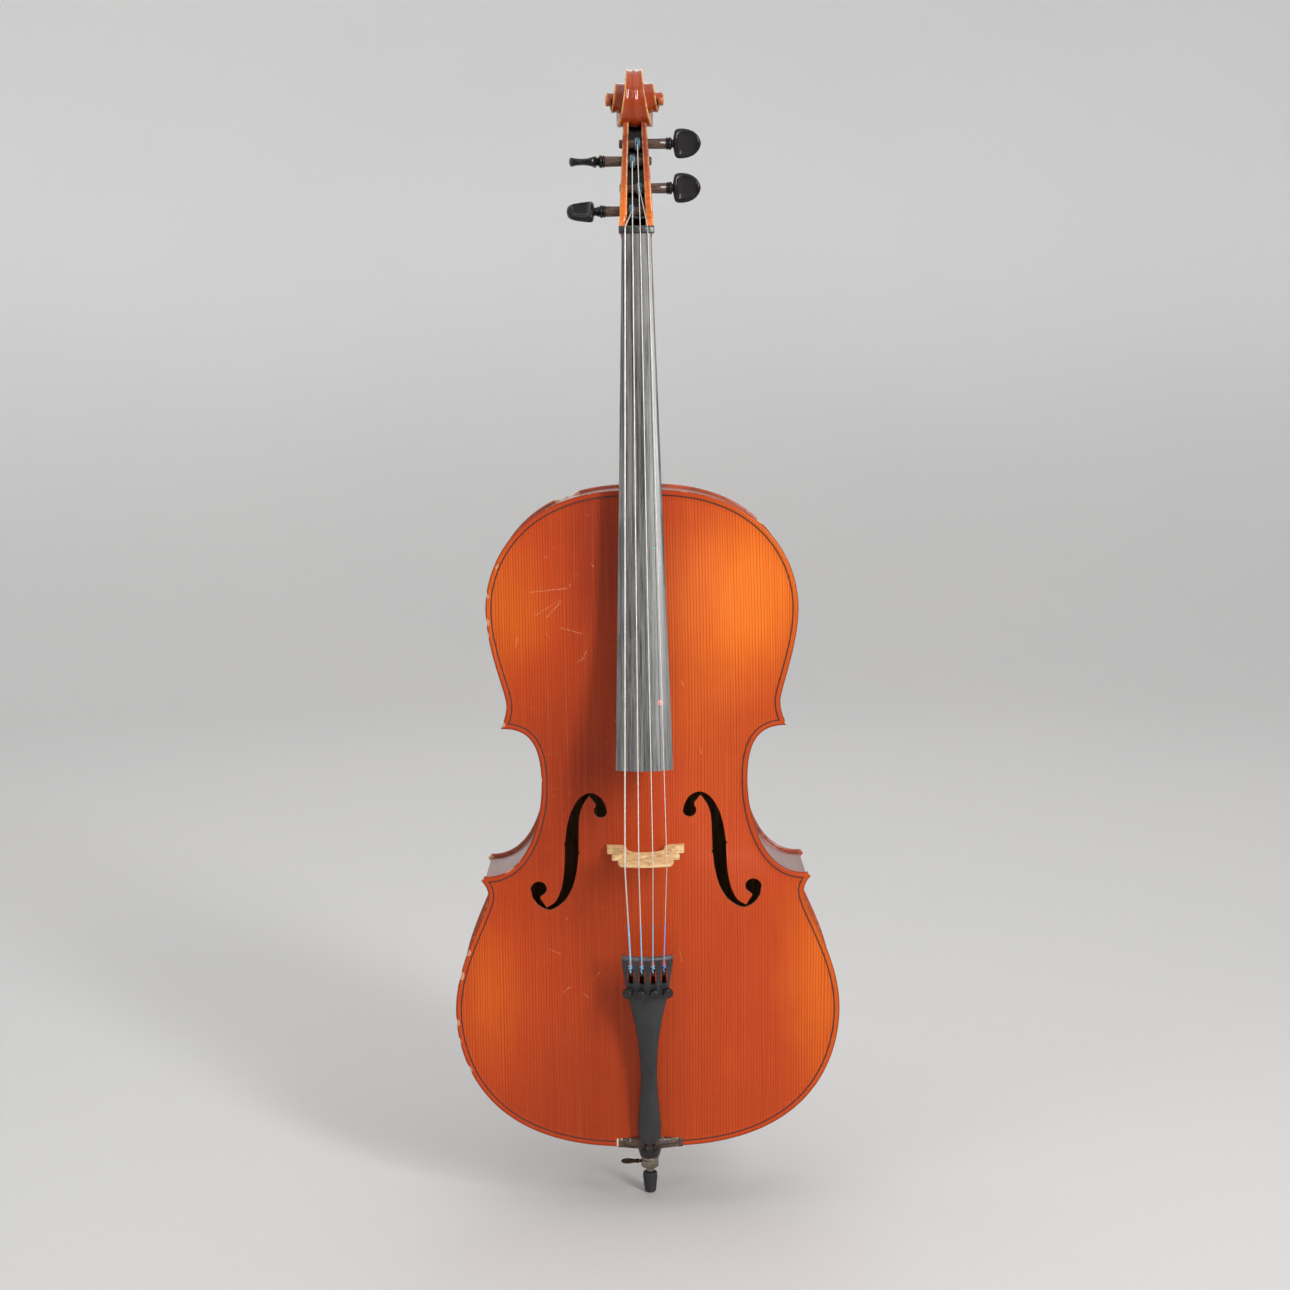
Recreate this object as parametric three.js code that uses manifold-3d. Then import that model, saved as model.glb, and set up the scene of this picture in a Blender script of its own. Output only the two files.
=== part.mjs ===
// A full-size cello: body, neck with scroll, pegs, strings, bridge, tailpiece with fine tuners, and endpin.
// Millimetres. The belly faces -Y, the bass side is -X, and the long axis is +Z.
// The origin is the centre of the rubber tip's flat end; the body group starts TIP_TO_BODY above it.
import * as THREE from 'three';
import { mergeVertices } from 'three/addons/utils/BufferGeometryUtils.js';
import Module from 'manifold-3d';

const wasm = await Module();
wasm.setup();

// ---- Driving dimensions -------------------------------------------------------------------------
const GAP = 0.3;                  // clearance kept between touching pieces
const TIP_TO_BODY = 77;           // from the rubber tip's end to the lower edge of the body

const BODY_LENGTH = 755;
const RIB_HEIGHT = 112;
const RIB_THICKNESS = 2;
const OVERHANG = 3.5;             // plate edges beyond the ribs
const PLATE_THICKNESS = 4.5;
const BELLY_ARCH = 22.5;          // rise of the crown above the plate's edge
const BACK_ARCH = 19.5;
const ARCH_END_RUN = 190;         // length over which the arch falls to each end
const CHANNEL = 8;                // flat margin inside the edge
const BUTTON_LENGTH = 30;
const BUTTON_HALF = 14.5;

const BLOCK_REACH = 36;           // length of a corner block along each rib
const END_BLOCK_HALF = 60;
const END_BLOCK_DEPTH = 32;
const LINING_THICKNESS = 3;
const LINING_HEIGHT = 16;

const TENON_HALF = 15;
const TENON_DEPTH = 12;

const NUT_Z = 1035;               // fingerboard side of the nut
const NUT_LENGTH = 6;
const NUT_HALF = 19.7;
const FINGERBOARD_LENGTH = 580;
const FINGERBOARD_HALF_NUT = 16.25;
const FINGERBOARD_HALF_END = 31.25;
const FINGERBOARD_RADIUS = 62;

const BRIDGE_Z = 355;
const BRIDGE_HEIGHT = 89;
const BRIDGE_FOOT_THICKNESS = 11;
const BRIDGE_TOP_THICKNESS = 3;
const BRIDGE_RADIUS = 60;

const TAIL_TOP_Z = 245;
const TAIL_END_Z = 8;
const TAIL_TOP_Y = -141;
const TAIL_END_Y = -77;
const TAIL_THICKNESS = 6.5;
const SLOT_WIDTH = 6;
const SLOT_LOW_Z = 212;
const SLOT_HIGH_Z = 240.8;
const TUNER_Z = 203;
const LEVER_PIVOT_Z = 227;

const SCROLL_EYE = { y: 7, z: 1184 };
const VOLUTE_RADIUS = 35;

const ROD_RADIUS = 5;
const ROD_LENGTH = 480;
const ROD_LOW_Z = -67.7;
const THUMBSCREW_Z = -39.5;

// Strings from bass to treble: radius, x at nut, bridge and tailpiece slot, and the peg each one winds on.
const STRINGS = [
  { name: 'C', radius: 0.8, nutX: -12.5, bridgeX: -22.7, slotX: -18.5, tunerX: -20.5,
    peg: { z: 1061, y: -18, side: -1, end: 77, turn: 0.9 }, windX: -5 },
  { name: 'G', radius: 0.6, nutX: -4.2, bridgeX: -7.6, slotX: -6.2, tunerX: -7,
    peg: { z: 1116, y: -9, side: -1, end: 73.5, turn: 1.5 }, windX: -3.5 },
  { name: 'D', radius: 0.5, nutX: 4.2, bridgeX: 7.6, slotX: 6.2, tunerX: 7,
    peg: { z: 1135, y: -5, side: 1, end: 73, turn: 0.15 }, windX: 2.5 },
  { name: 'A', radius: 0.4, nutX: 12.5, bridgeX: 22.7, slotX: 18.5, tunerX: 20.5,
    peg: { z: 1086, y: -13, side: 1, end: 72, turn: 0.1 }, windX: 4 },
];

const SIDES = [{ name: 'bass', sign: -1 }, { name: 'treble', sign: 1 }];
const LAYERS = [{ name: 'front', sign: -1 }, { name: 'back', sign: 1 }];

// ---- Materials ----------------------------------------------------------------------------------
const finish = (color, roughness, metalness = 0) => () =>
  new THREE.MeshStandardMaterial({ color, roughness, metalness });
const SPRUCE = finish(0xa9401f, 0.35);
const MAPLE = finish(0xb5541f, 0.3);
const RAW_SPRUCE = finish(0xd8b98a, 0.8);
const EBONY = finish(0x2a2724, 0.45);
const ROSEWOOD = finish(0x33241e, 0.4);
const BRIDGE_MAPLE = finish(0xd9b98c, 0.6);
const STEEL = finish(0xb4b2ac, 0.3, 1);
const SILK = finish(0x7fb2d6, 0.7);
const COMPOSITE = finish(0x2c2c2c, 0.6);
const BLACK_METAL = finish(0x2f2f30, 0.4, 0.7);
const CORD = finish(0x151515, 0.8);
const RUBBER = finish(0x242424, 0.9);

// ---- Geometry helpers ---------------------------------------------------------------------------
// A closed surface with shared vertices, no empty triangles, and its faces pointing out.
function closed(source) {
  const shell = source.clone();
  shell.deleteAttribute('normal');
  shell.deleteAttribute('uv');
  const merged = mergeVertices(shell, 1e-4);
  const position = merged.attributes.position;
  const [a, b, c] = [new THREE.Vector3(), new THREE.Vector3(), new THREE.Vector3()];
  const faces = [];
  let volume = 0;
  for (let i = 0; i < merged.index.count; i += 3) {
    const [p, q, r] = [0, 1, 2].map((k) => merged.index.getX(i + k));
    if (p === q || q === r || r === p) continue;
    a.fromBufferAttribute(position, p);
    b.fromBufferAttribute(position, q);
    c.fromBufferAttribute(position, r);
    volume += a.dot(b.cross(c));
    faces.push([p, q, r]);
  }
  if (volume < 0) faces.forEach((face) => face.reverse());
  merged.setIndex(faces.flat());
  merged.computeVertexNormals();
  return merged;
}

function solid(geometry) {
  const shell = closed(geometry);
  return new wasm.Manifold(new wasm.Mesh({
    numProp: 3,
    vertProperties: new Float32Array(shell.attributes.position.array),
    triVerts: new Uint32Array(shell.index.array),
  }));
}

function surface(body) {
  const mesh = body.getMesh();
  const geometry = new THREE.BufferGeometry();
  geometry.setAttribute('position', new THREE.BufferAttribute(new Float32Array(mesh.vertProperties), 3));
  geometry.setIndex(new THREE.BufferAttribute(new Uint32Array(mesh.triVerts), 1));
  geometry.computeVertexNormals();
  return geometry;
}

const unit = { x: new THREE.Vector3(1, 0, 0), y: new THREE.Vector3(0, 1, 0), z: new THREE.Vector3(0, 0, 1) };
const PLANES = {
  x: new THREE.Matrix4().makeBasis(unit.y, unit.z, unit.x),                    // outline in (y, z)
  y: new THREE.Matrix4().makeBasis(unit.x, unit.z, unit.y.clone().negate()),   // outline in (x, z)
  z: new THREE.Matrix4(),                                                      // outline in (x, y)
};

// An outline pushed along one axis, from one coordinate to another.
function extrude(points, axis, from, to) {
  const shape = new THREE.Shape(points.map(([u, v]) => new THREE.Vector2(u, v)));
  const geometry = new THREE.ExtrudeGeometry(shape, { depth: to - from, bevelEnabled: false });
  geometry.applyMatrix4(PLANES[axis]);
  const start = axis === 'y' ? to : from;
  return geometry.translate(unit[axis].x * start, unit[axis].y * start, unit[axis].z * start);
}

// A profile of [radius, height] turned about an axis through the origin.
function turned(profile, segments, axis) {
  const geometry = new THREE.LatheGeometry(profile.map(([r, h]) => new THREE.Vector2(r, h)), segments);
  if (axis === 'x') geometry.rotateZ(-Math.PI / 2);
  if (axis === 'z') geometry.rotateX(Math.PI / 2);
  return geometry;
}

function rod(radius, from, to, axis, segments = 16) {
  return turned([[0, from], [radius, from], [radius, to], [0, to]], segments, axis);
}

function areaVector(ring) {
  const sum = new THREE.Vector3();
  ring.forEach((p, i) => sum.add(p.clone().sub(ring[0]).cross(ring[(i + 1) % ring.length].clone().sub(ring[0]))));
  return sum.multiplyScalar(0.5);
}

function centreOf(ring) {
  return ring.reduce((sum, p) => sum.add(p), new THREE.Vector3()).divideScalar(ring.length);
}

// A closed skin through rings of equal point count, with flat ends.
function loft(sections) {
  const travel = centreOf(sections[1]).sub(centreOf(sections[0]));
  const backwards = areaVector(sections[sections.length >> 1]).dot(travel) < 0;
  const rings = backwards ? sections.map((ring) => [...ring].reverse()) : sections;
  const n = rings[0].length;
  const faces = [];
  for (let r = 0; r + 1 < rings.length; r += 1) {
    for (let i = 0; i < n; i += 1) {
      const a = r * n + i;
      const b = r * n + ((i + 1) % n);
      faces.push(a, b, b + n, a, b + n, a + n);
    }
  }
  const cap = (index, outward) => {
    const ring = rings[index];
    const normal = areaVector(ring);
    if (normal.length() < 1e-3) return;
    const [u, v] = Math.abs(normal.z) > Math.abs(normal.y) ? ['x', 'y'] : ['x', 'z'];
    const keys = Math.abs(normal.x) > Math.max(Math.abs(normal.y), Math.abs(normal.z)) ? ['y', 'z'] : [u, v];
    const flat = ring.map((p) => new THREE.Vector2(p[keys[0]], p[keys[1]]));
    THREE.ShapeUtils.triangulateShape(flat, []).forEach(([i, j, k]) => {
      const side = areaVector([ring[i], ring[j], ring[k]]).dot(outward);
      const face = side < 0 ? [i, k, j] : [i, j, k];
      faces.push(...face.map((p) => index * n + p));
    });
  };
  cap(0, travel.clone().negate());
  cap(rings.length - 1, travel);
  const geometry = new THREE.BufferGeometry();
  geometry.setAttribute('position', new THREE.Float32BufferAttribute(rings.flat().flatMap((p) => p.toArray()), 3));
  geometry.setIndex(faces);
  return geometry;
}

const at = (x, y, z) => new THREE.Vector3(x, y, z);
const mirrored = (points) => points.map(([x, z]) => [-x, z]);
const clamp = (value, low, high) => Math.min(Math.max(value, low), high);

// Value of a curve given by [position, value] knots, with straight stretches between them.
function along(knots, position) {
  const next = clamp(knots.findIndex(([p]) => p >= position), 1, knots.length - 1) || knots.length - 1;
  const index = position > knots[knots.length - 1][0] ? knots.length - 1 : next;
  const [[p0, v0], [p1, v1]] = [knots[index - 1], knots[index]];
  return v0 + (v1 - v0) * clamp((position - p0) / (p1 - p0), 0, 1);
}

// ---- Outline ------------------------------------------------------------------------------------
function curve(start, controls, end, steps) {
  const points = [start, ...controls, end].map(([x, z]) => new THREE.Vector2(x, z));
  const path = controls.length === 2 ? new THREE.CubicBezierCurve(...points)
    : new THREE.QuadraticBezierCurve(...points);
  return path.getPoints(steps).map((p) => [p.x, p.y]);
}

const joined = (...curves) => curves.reduce((all, next) => [...all, ...next.slice(1)]);

// The treble half of the outline as [x, z], in three stretches that rise from one end to the other.
const LOWER_BOUT = joined(
  [[0, 0], [22, 0]],
  curve([22, 0], [[195, 0], [219, 112]], [219, 162], 7),
  curve([219, 162], [[219, 224], [173, 293]], [179.5, 299], 5),
  curve([179.5, 299], [[180.5, 308]], [187, 315], 2),
);
const WAIST = joined(
  curve([183.5, 320], [[134, 316], [116, 382]], [116, 427], 5),
  curve([116, 427], [[116, 479], [135, 489]], [160.5, 489], 5),
);
const UPPER_BOUT = joined(
  curve([158.5, 495], [[154, 504]], [153.7, 515], 2),
  curve([153.7, 515], [[152.5, 527], [174.6, 577]], [174.6, 622], 4),
  curve([174.6, 622], [[174.6, 682], [130, BODY_LENGTH]], [TENON_HALF, BODY_LENGTH], 7),
);
const OUTLINE = [...LOWER_BOUT, ...WAIST, ...UPPER_BOUT];

function halfWidth(z) {
  return along(OUTLINE.slice(1).map(([x, height]) => [height, x]), clamp(z, 0, BODY_LENGTH));
}

// Width of the arched area: the outline without its corners, less the channel.
function archHalf(z) {
  const reach = [-24, -16, -8, 0, 8, 16, 24];
  return reach.reduce((sum, step) => sum + halfWidth(z + step), 0) / reach.length - CHANNEL;
}

// Height of the arch at a point, from 0 at the edge to 1 at the crown.
function rise(x, z) {
  const across = 0.5 + 0.5 * Math.cos(Math.PI * clamp(Math.abs(x) / archHalf(z), 0, 1));
  const run = clamp((Math.min(z, BODY_LENGTH - z) - CHANNEL) / ARCH_END_RUN, 0, 1);
  return across ** 0.85 * (0.5 - 0.5 * Math.cos(Math.PI * run)) ** 0.6;
}

const bellyY = (x, z) => -RIB_HEIGHT / 2 - PLATE_THICKNESS - BELLY_ARCH * rise(x, z);

// A polyline moved towards the inside of the body, which is on its left.
function inward(points, distance) {
  return points.map((point, i) => {
    const before = points[Math.max(i - 1, 0)];
    const after = points[Math.min(i + 1, points.length - 1)];
    const [dx, dz] = [after[0] - before[0], after[1] - before[1]];
    const length = Math.hypot(dx, dz);
    return [point[0] - (dz / length) * distance, point[1] + (dx / length) * distance];
  });
}

function stretched(points, length) {
  const [a, b] = points.slice(-2);
  const scale = length / Math.hypot(b[0] - a[0], b[1] - a[1]);
  return [...points, [b[0] + (b[0] - a[0]) * scale, b[1] + (b[1] - a[1]) * scale]];
}

const reversed = (points) => [...points].reverse();

// Two polylines that cross, each cut where they meet.
function mitred(first, second) {
  const one = stretched(first, 14);
  const two = reversed(stretched(reversed(second), 14));
  for (let i = one.length - 2; i >= 0; i -= 1) {
    for (let j = 0; j + 1 < two.length; j += 1) {
      const [p, q, r, s] = [one[i], one[i + 1], two[j], two[j + 1]];
      const [ax, az, bx, bz] = [q[0] - p[0], q[1] - p[1], s[0] - r[0], s[1] - r[1]];
      const cross = ax * bz - az * bx;
      const t = ((r[0] - p[0]) * bz - (r[1] - p[1]) * bx) / cross;
      const u = ((r[0] - p[0]) * az - (r[1] - p[1]) * ax) / cross;
      if (t >= 0 && t <= 1 && u >= 0 && u <= 1) {
        const meet = [p[0] + ax * t, p[1] + az * t];
        return [[...one.slice(0, i + 1), meet], [meet, ...two.slice(j + 1)]];
      }
    }
  }
  throw new Error('the two curves do not meet');
}

// The three stretches of the outline at a distance inside the edge, mitred at the corners.
function inset(distance) {
  const [lower, waistStart] = mitred(inward(LOWER_BOUT, distance), inward(WAIST, distance));
  const [waist, upper] = mitred(waistStart, inward(UPPER_BOUT, distance));
  return { lower, waist, upper };
}

// The stretch of a polyline between two lengths measured from its start.
function stretch(points, from, to) {
  const kept = [];
  let travelled = 0;
  for (let i = 0; i + 1 < points.length; i += 1) {
    const [a, b] = [points[i], points[i + 1]];
    const length = Math.hypot(b[0] - a[0], b[1] - a[1]);
    const mark = (target) => [0, 1].map((k) => a[k] + (b[k] - a[k]) * ((target - travelled) / length));
    if (from >= travelled && from < travelled + length) kept.push(mark(from));
    if (travelled + length > from && travelled + length < to) kept.push(b);
    if (to > travelled && to <= travelled + length) kept.push(mark(to));
    travelled += length;
  }
  return kept;
}

function lengthOf(points) {
  return points.slice(1).reduce((sum, p, i) => sum + Math.hypot(p[0] - points[i][0], p[1] - points[i][1]), 0);
}

// ---- The group and its pieces -------------------------------------------------------------------
const cello = new THREE.Group();
const body = new THREE.Group();
body.position.z = TIP_TO_BODY;
cello.add(body);

function piece(name, geometry, material, parent = body) {
  const mesh = new THREE.Mesh(closed(geometry), material());
  mesh.name = name;
  parent.add(mesh);
  return mesh;
}

// ---- Belly and back -----------------------------------------------------------------------------
const COLUMNS = [-1, -0.92, -0.7, -0.46, -0.23, 0, 0.23, 0.46, 0.7, 0.92, 1];

function plate(sign, arch, rows) {
  const face = sign * RIB_HEIGHT / 2;
  return loft(rows.map(([half, z]) => {
    const columns = COLUMNS.map((u) => u * half);
    const height = (x) => sign * arch * rise(x, Math.min(z, BODY_LENGTH));
    const outer = columns.map((x) => at(x, face + sign * PLATE_THICKNESS + height(x), z));
    const inner = columns.map((x) => at(x, face + height(x), z));
    return [...outer, ...inner.reverse()];
  }));
}

function circle(x, z, radius, sides) {
  return Array.from({ length: sides }, (_, i) => {
    const angle = (2 * Math.PI * i) / sides;
    return [x + radius * Math.cos(angle), z + radius * Math.sin(angle)];
  });
}

const F_UPPER_EYE = { x: 50, z: 396, radius: 7.5 };
const F_LOWER_EYE = { x: 119.5, z: 305, radius: 9.2 };
const F_MIDDLE = [83, 354];
const F_STEM_HALF = 6.2;

// The f-hole's stem on the treble side: a ribbon that narrows to each eye.
function fStem() {
  const upper = curve([45, 400], [[52, 421], [77, 409]], F_MIDDLE, 7);
  const lower = curve(F_MIDDLE, [[91, 292], [112, 274]], [125, 298], 7);
  const centre = joined(upper, lower);
  const half = (i) => 1.6 + (F_STEM_HALF - 1.6) * Math.sin((Math.PI * i) / (centre.length - 1)) ** 1.3;
  const edge = (sign) => centre.map((p, i) => {
    const [a, b] = [centre[Math.max(i - 1, 0)], centre[Math.min(i + 1, centre.length - 1)]];
    const length = Math.hypot(b[0] - a[0], b[1] - a[1]);
    const across = [(b[1] - a[1]) / length, -(b[0] - a[0]) / length];
    return [p[0] + sign * half(i) * across[0], p[1] + sign * half(i) * across[1]];
  });
  return [...edge(1), ...edge(-1).reverse()];
}

function fHole(sign) {
  const shapes = [
    fStem(),
    circle(F_UPPER_EYE.x, F_UPPER_EYE.z, F_UPPER_EYE.radius, 12),
    circle(F_LOWER_EYE.x, F_LOWER_EYE.z, F_LOWER_EYE.radius, 12),
  ];
  return shapes.map((points) => solid(extrude(sign > 0 ? points : mirrored(points), 'y', -110, -40)));
}

const SADDLE_HALF = 38;
const SADDLE_RUN = 11.5;
const plateRows = OUTLINE.filter(([half]) => half > 1);

function buildPlates() {
  const saddleNotch = new THREE.BoxGeometry(2 * (SADDLE_HALF + GAP), 40, 2 * (SADDLE_RUN + GAP));
  const tenonNotch = new THREE.BoxGeometry(2 * (TENON_HALF + GAP), 40, 2 * (TENON_DEPTH + GAP));
  saddleNotch.translate(0, -60, 0);
  tenonNotch.translate(0, -60, BODY_LENGTH);
  let belly = solid(plate(-1, BELLY_ARCH, plateRows));
  belly = belly.subtract(solid(saddleNotch)).subtract(solid(tenonNotch));
  SIDES.forEach(({ sign }) => fHole(sign).forEach((cut) => { belly = belly.subtract(cut); }));
  const button = [
    [BUTTON_HALF, BODY_LENGTH + 0.5], [BUTTON_HALF, BODY_LENGTH + BUTTON_LENGTH - 10],
    [10, BODY_LENGTH + BUTTON_LENGTH - 3], [4, BODY_LENGTH + BUTTON_LENGTH],
  ];
  const back = solid(plate(1, BACK_ARCH, [...plateRows, ...button]));
  piece('top_plate', surface(belly), SPRUCE);
  piece('back_plate', surface(back), MAPLE);
  return { belly, back };
}

// ---- Ribs, blocks and linings -------------------------------------------------------------------
const RIB_HALF = RIB_HEIGHT / 2 - GAP;
const PLUG_RADIUS = 13;

function buildRibs() {
  const outer = inset(OVERHANG);
  const inner = inset(OVERHANG + RIB_THICKNESS);
  const cutBack = 0.4;
  const trimmed = (points, start, end) => stretch(points, start, lengthOf(points) - end);
  const plugHole = solid(rod(PLUG_RADIUS + GAP, -20, 60, 'z', 24));
  const ribs = [
    { name: 'lower_rib', key: 'lower', start: GAP / 2, end: cutBack },
    { name: 'c_rib', key: 'waist', start: cutBack, end: cutBack },
    { name: 'upper_rib', key: 'upper', start: cutBack, end: 1.2 },
  ];
  SIDES.forEach((side) => ribs.forEach(({ name, key, start, end }) => {
    const band = [...trimmed(outer[key], start, end), ...reversed(trimmed(inner[key], start, end))];
    const shape = solid(extrude(side.sign > 0 ? band : mirrored(band), 'y', -RIB_HALF, RIB_HALF));
    piece(`${name}_${side.name}`, surface(shape.subtract(plugHole)), MAPLE);
  }));
}

function buildBlocks() {
  const face = inset(OVERHANG + RIB_THICKNESS + GAP);
  const corners = [
    { name: 'lower_corner_block', first: face.lower, second: face.waist },
    { name: 'upper_corner_block', first: face.waist, second: face.upper },
  ];
  SIDES.forEach((side) => corners.forEach(({ name, first, second }) => {
    const total = lengthOf(first);
    const points = [...stretch(first, total - BLOCK_REACH, total), ...stretch(second, 0.01, BLOCK_REACH)];
    const shape = extrude(side.sign > 0 ? points : mirrored(points), 'y', -RIB_HALF, RIB_HALF);
    piece(`${name}_${side.name}`, shape, RAW_SPRUCE);
  }));

  const bottomHalf = stretch(face.lower, 0, END_BLOCK_HALF);
  const bottom = [...reversed(mirrored(bottomHalf.slice(1))), ...bottomHalf,
    [END_BLOCK_HALF - 6, END_BLOCK_DEPTH + 6], [6 - END_BLOCK_HALF, END_BLOCK_DEPTH + 6]];
  const bottomBlock = solid(extrude(bottom, 'y', -RIB_HALF, RIB_HALF));
  piece('bottom_block', surface(bottomBlock.subtract(solid(rod(PLUG_RADIUS + GAP, -5, 60, 'z', 24)))), RAW_SPRUCE);

  const topHalf = stretch(face.upper, lengthOf(face.upper) - END_BLOCK_HALF + TENON_HALF, lengthOf(face.upper));
  const low = BODY_LENGTH - END_BLOCK_DEPTH - 6;
  const top = [...topHalf, ...reversed(mirrored(topHalf)), [6 - END_BLOCK_HALF, low], [END_BLOCK_HALF - 6, low]];
  const notch = new THREE.BoxGeometry(2 * (TENON_HALF + GAP), 200, 2 * (TENON_DEPTH + GAP));
  notch.translate(0, 0, BODY_LENGTH);
  piece('top_block', surface(solid(extrude(top, 'y', -RIB_HALF, RIB_HALF)).subtract(solid(notch))), RAW_SPRUCE);

  const bouts = [
    { name: 'lower', path: face.lower, start: END_BLOCK_HALF + 1, end: BLOCK_REACH + 1 },
    { name: 'upper', path: face.upper, start: BLOCK_REACH + 1, end: END_BLOCK_HALF - TENON_HALF + 1 },
  ];
  SIDES.forEach((side) => LAYERS.forEach((layer) => bouts.forEach(({ name, path, start, end }) => {
    const line = stretch(path, start, lengthOf(path) - end);
    const band = [...line, ...reversed(inward(line, LINING_THICKNESS))];
    const near = layer.sign * RIB_HALF;
    const far = layer.sign * (RIB_HALF - LINING_HEIGHT);
    const shape = extrude(side.sign > 0 ? band : mirrored(band), 'y', Math.min(near, far), Math.max(near, far));
    piece(`${name}_lining_${layer.name}_${side.name}`, shape, RAW_SPRUCE);
  })));
}

// ---- Bass bar and sound post --------------------------------------------------------------------
const BASS_BAR = { x: -27, half: 5.5, low: 88, high: 668, depth: 22 };
const SOUND_POST = { x: 30, z: 337, radius: 5.5 };

function buildInside({ belly, back }) {
  const under = (z) => bellyY(BASS_BAR.x, z) + PLATE_THICKNESS - 1.2;
  const steps = 14;
  const stations = Array.from({ length: steps + 1 }, (_, i) =>
    BASS_BAR.low + ((BASS_BAR.high - BASS_BAR.low) * i) / steps);
  const depth = (z) => 6 + (BASS_BAR.depth - 6)
    * Math.sin((Math.PI * (z - BASS_BAR.low)) / (BASS_BAR.high - BASS_BAR.low));
  const profile = [...stations.map((z) => [under(z), z]),
    ...stations.map((z) => [under(z) + 1.5 + depth(z), z]).reverse()];
  const bar = solid(extrude(profile, 'x', BASS_BAR.x - BASS_BAR.half, BASS_BAR.x + BASS_BAR.half));
  piece('bass_bar', surface(bar.subtract(belly.translate([0, GAP, 0]))), RAW_SPRUCE);

  const front = bellyY(SOUND_POST.x, SOUND_POST.z) + PLATE_THICKNESS - 1.5;
  const rear = -front - BELLY_ARCH + BACK_ARCH + 0.5;
  const post = solid(rod(SOUND_POST.radius, front, rear, 'y', 16).translate(SOUND_POST.x, 0, SOUND_POST.z));
  const fitted = post.subtract(belly.translate([0, GAP, 0])).subtract(back.translate([0, -GAP, 0]));
  piece('sound_post', surface(fitted), RAW_SPRUCE);
}

// ---- Neck, heel, pegbox and scroll --------------------------------------------------------------
const fingerboardTop = (z) => -49 - 0.1714 * (NUT_Z - z);
const gluePlane = (z) => -40.3 - 0.163 * (NUT_Z - z);
const boardHalf = (z) => FINGERBOARD_HALF_NUT
  + ((FINGERBOARD_HALF_END - FINGERBOARD_HALF_NUT) * (NUT_Z - z)) / FINGERBOARD_LENGTH;

function neckShaft() {
  const depth = [[780, 23], [900, 22], [1005, 20], [1028, 20], [1038, 24]];
  const stations = [780, 830, 900, 970, 1010, 1028, 1038];
  return loft(stations.map((z) => {
    const half = boardHalf(Math.min(z, NUT_Z)) + (z > 1020 ? 1.5 : 0);
    const top = gluePlane(z) + GAP;
    const round = Array.from({ length: 9 }, (_, i) => {
      const angle = (Math.PI * i) / 8;
      return at(half * Math.cos(angle), top + 3 + (along(depth, z) - 3) * Math.sin(angle), z);
    });
    return [at(half, top, z), ...round, at(-half, top, z)];
  }));
}

function heel() {
  const root = BODY_LENGTH + GAP;
  const end = RIB_HEIGHT / 2 - GAP;
  const back = curve([end, 784], [[14, 783], [-46, 782]], [gluePlane(835) + 21, 835], 6);
  const profile = [[gluePlane(835) + GAP, 835], [gluePlane(root) + GAP, root], [end, root], ...back];
  const plan = [[-23.3, -95], [23.3, -95], [19, -50], [14.2, end + 5], [-14.2, end + 5], [-19, -50]];
  const tenon = new THREE.BoxGeometry(2 * TENON_HALF, end + 84, TENON_DEPTH + 4);
  tenon.translate(0, (end - 84) / 2, BODY_LENGTH - TENON_DEPTH / 2 + 2);
  return solid(extrude(profile, 'x', -30, 30)).intersect(solid(extrude(plan, 'z', 740, 850)))
    .add(solid(tenon));
}

function pegbox() {
  const back = [[38, 1178], [28, 1164], [19, 1148], [13, 1125], [10, 1100], [8, 1080], [6, 1062],
    [0, 1048], [-10, 1036], [gluePlane(1018) + 19, 1018]];
  const profile = [[gluePlane(1018) + GAP, 1018], [gluePlane(1041) + GAP, 1041], [-12, 1150], [-5, 1175],
    ...back];
  const front = [[15.5, 1012], [19.5, 1033], [19.5, 1041], [13, 1152], [10, 1190]];
  const plan = [...front, ...reversed(mirrored(front))];
  return solid(extrude(profile, 'x', -30, 30)).intersect(solid(extrude(plan, 'y', -80, 60)));
}

function scroll() {
  const disc = solid(rod(VOLUTE_RADIUS, -30, 30, 'x', 28).translate(0, SCROLL_EYE.y, SCROLL_EYE.z));
  const front = [[18.8, 1150], [12.5, 1184], [8.8, 1218]];
  const band = solid(extrude([...front, ...reversed(mirrored(front))], 'y', -60, 80));
  const half = [[0, 32.5], [5.2, 32.5], [6.5, 31], [6.8, 26.5], [13, 26], [18.5, 20.5]];
  const turns = turned([...half.map(([r, x]) => [r, -x]), ...reversed(half)], 18, 'x');
  return disc.intersect(band).add(solid(turns.translate(0, SCROLL_EYE.y, SCROLL_EYE.z)));
}

const PEG_TIP = -17;
const PEG_COLLAR = 34.5;
const shaftRadius = (x) => 4.9 + (1.2 * (x - PEG_TIP)) / (PEG_COLLAR - PEG_TIP);

function pegHole({ z, y, side }) {
  const from = -30;
  const cone = turned([[0, from], [shaftRadius(from) + 0.35, from], [shaftRadius(30) + 0.35, 30], [0, 30]], 16, 'x');
  if (side < 0) cone.rotateZ(Math.PI);
  return solid(cone.translate(0, y, z));
}

function buildNeck() {
  const cavity = loft([[1042, 10.4, -17], [1062, 9.9, -4], [1100, 8.8, 1], [1147, 7, 7]].map(([z, half, floor]) =>
    [at(-half, -70, z), at(half, -70, z), at(half, floor, z), at(-half, floor, z)]));
  let neck = solid(neckShaft()).add(heel()).add(pegbox()).add(scroll()).subtract(solid(cavity));
  STRINGS.forEach(({ peg }) => { neck = neck.subtract(pegHole(peg)); });
  piece('neck_scroll', surface(neck), MAPLE);
}

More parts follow.
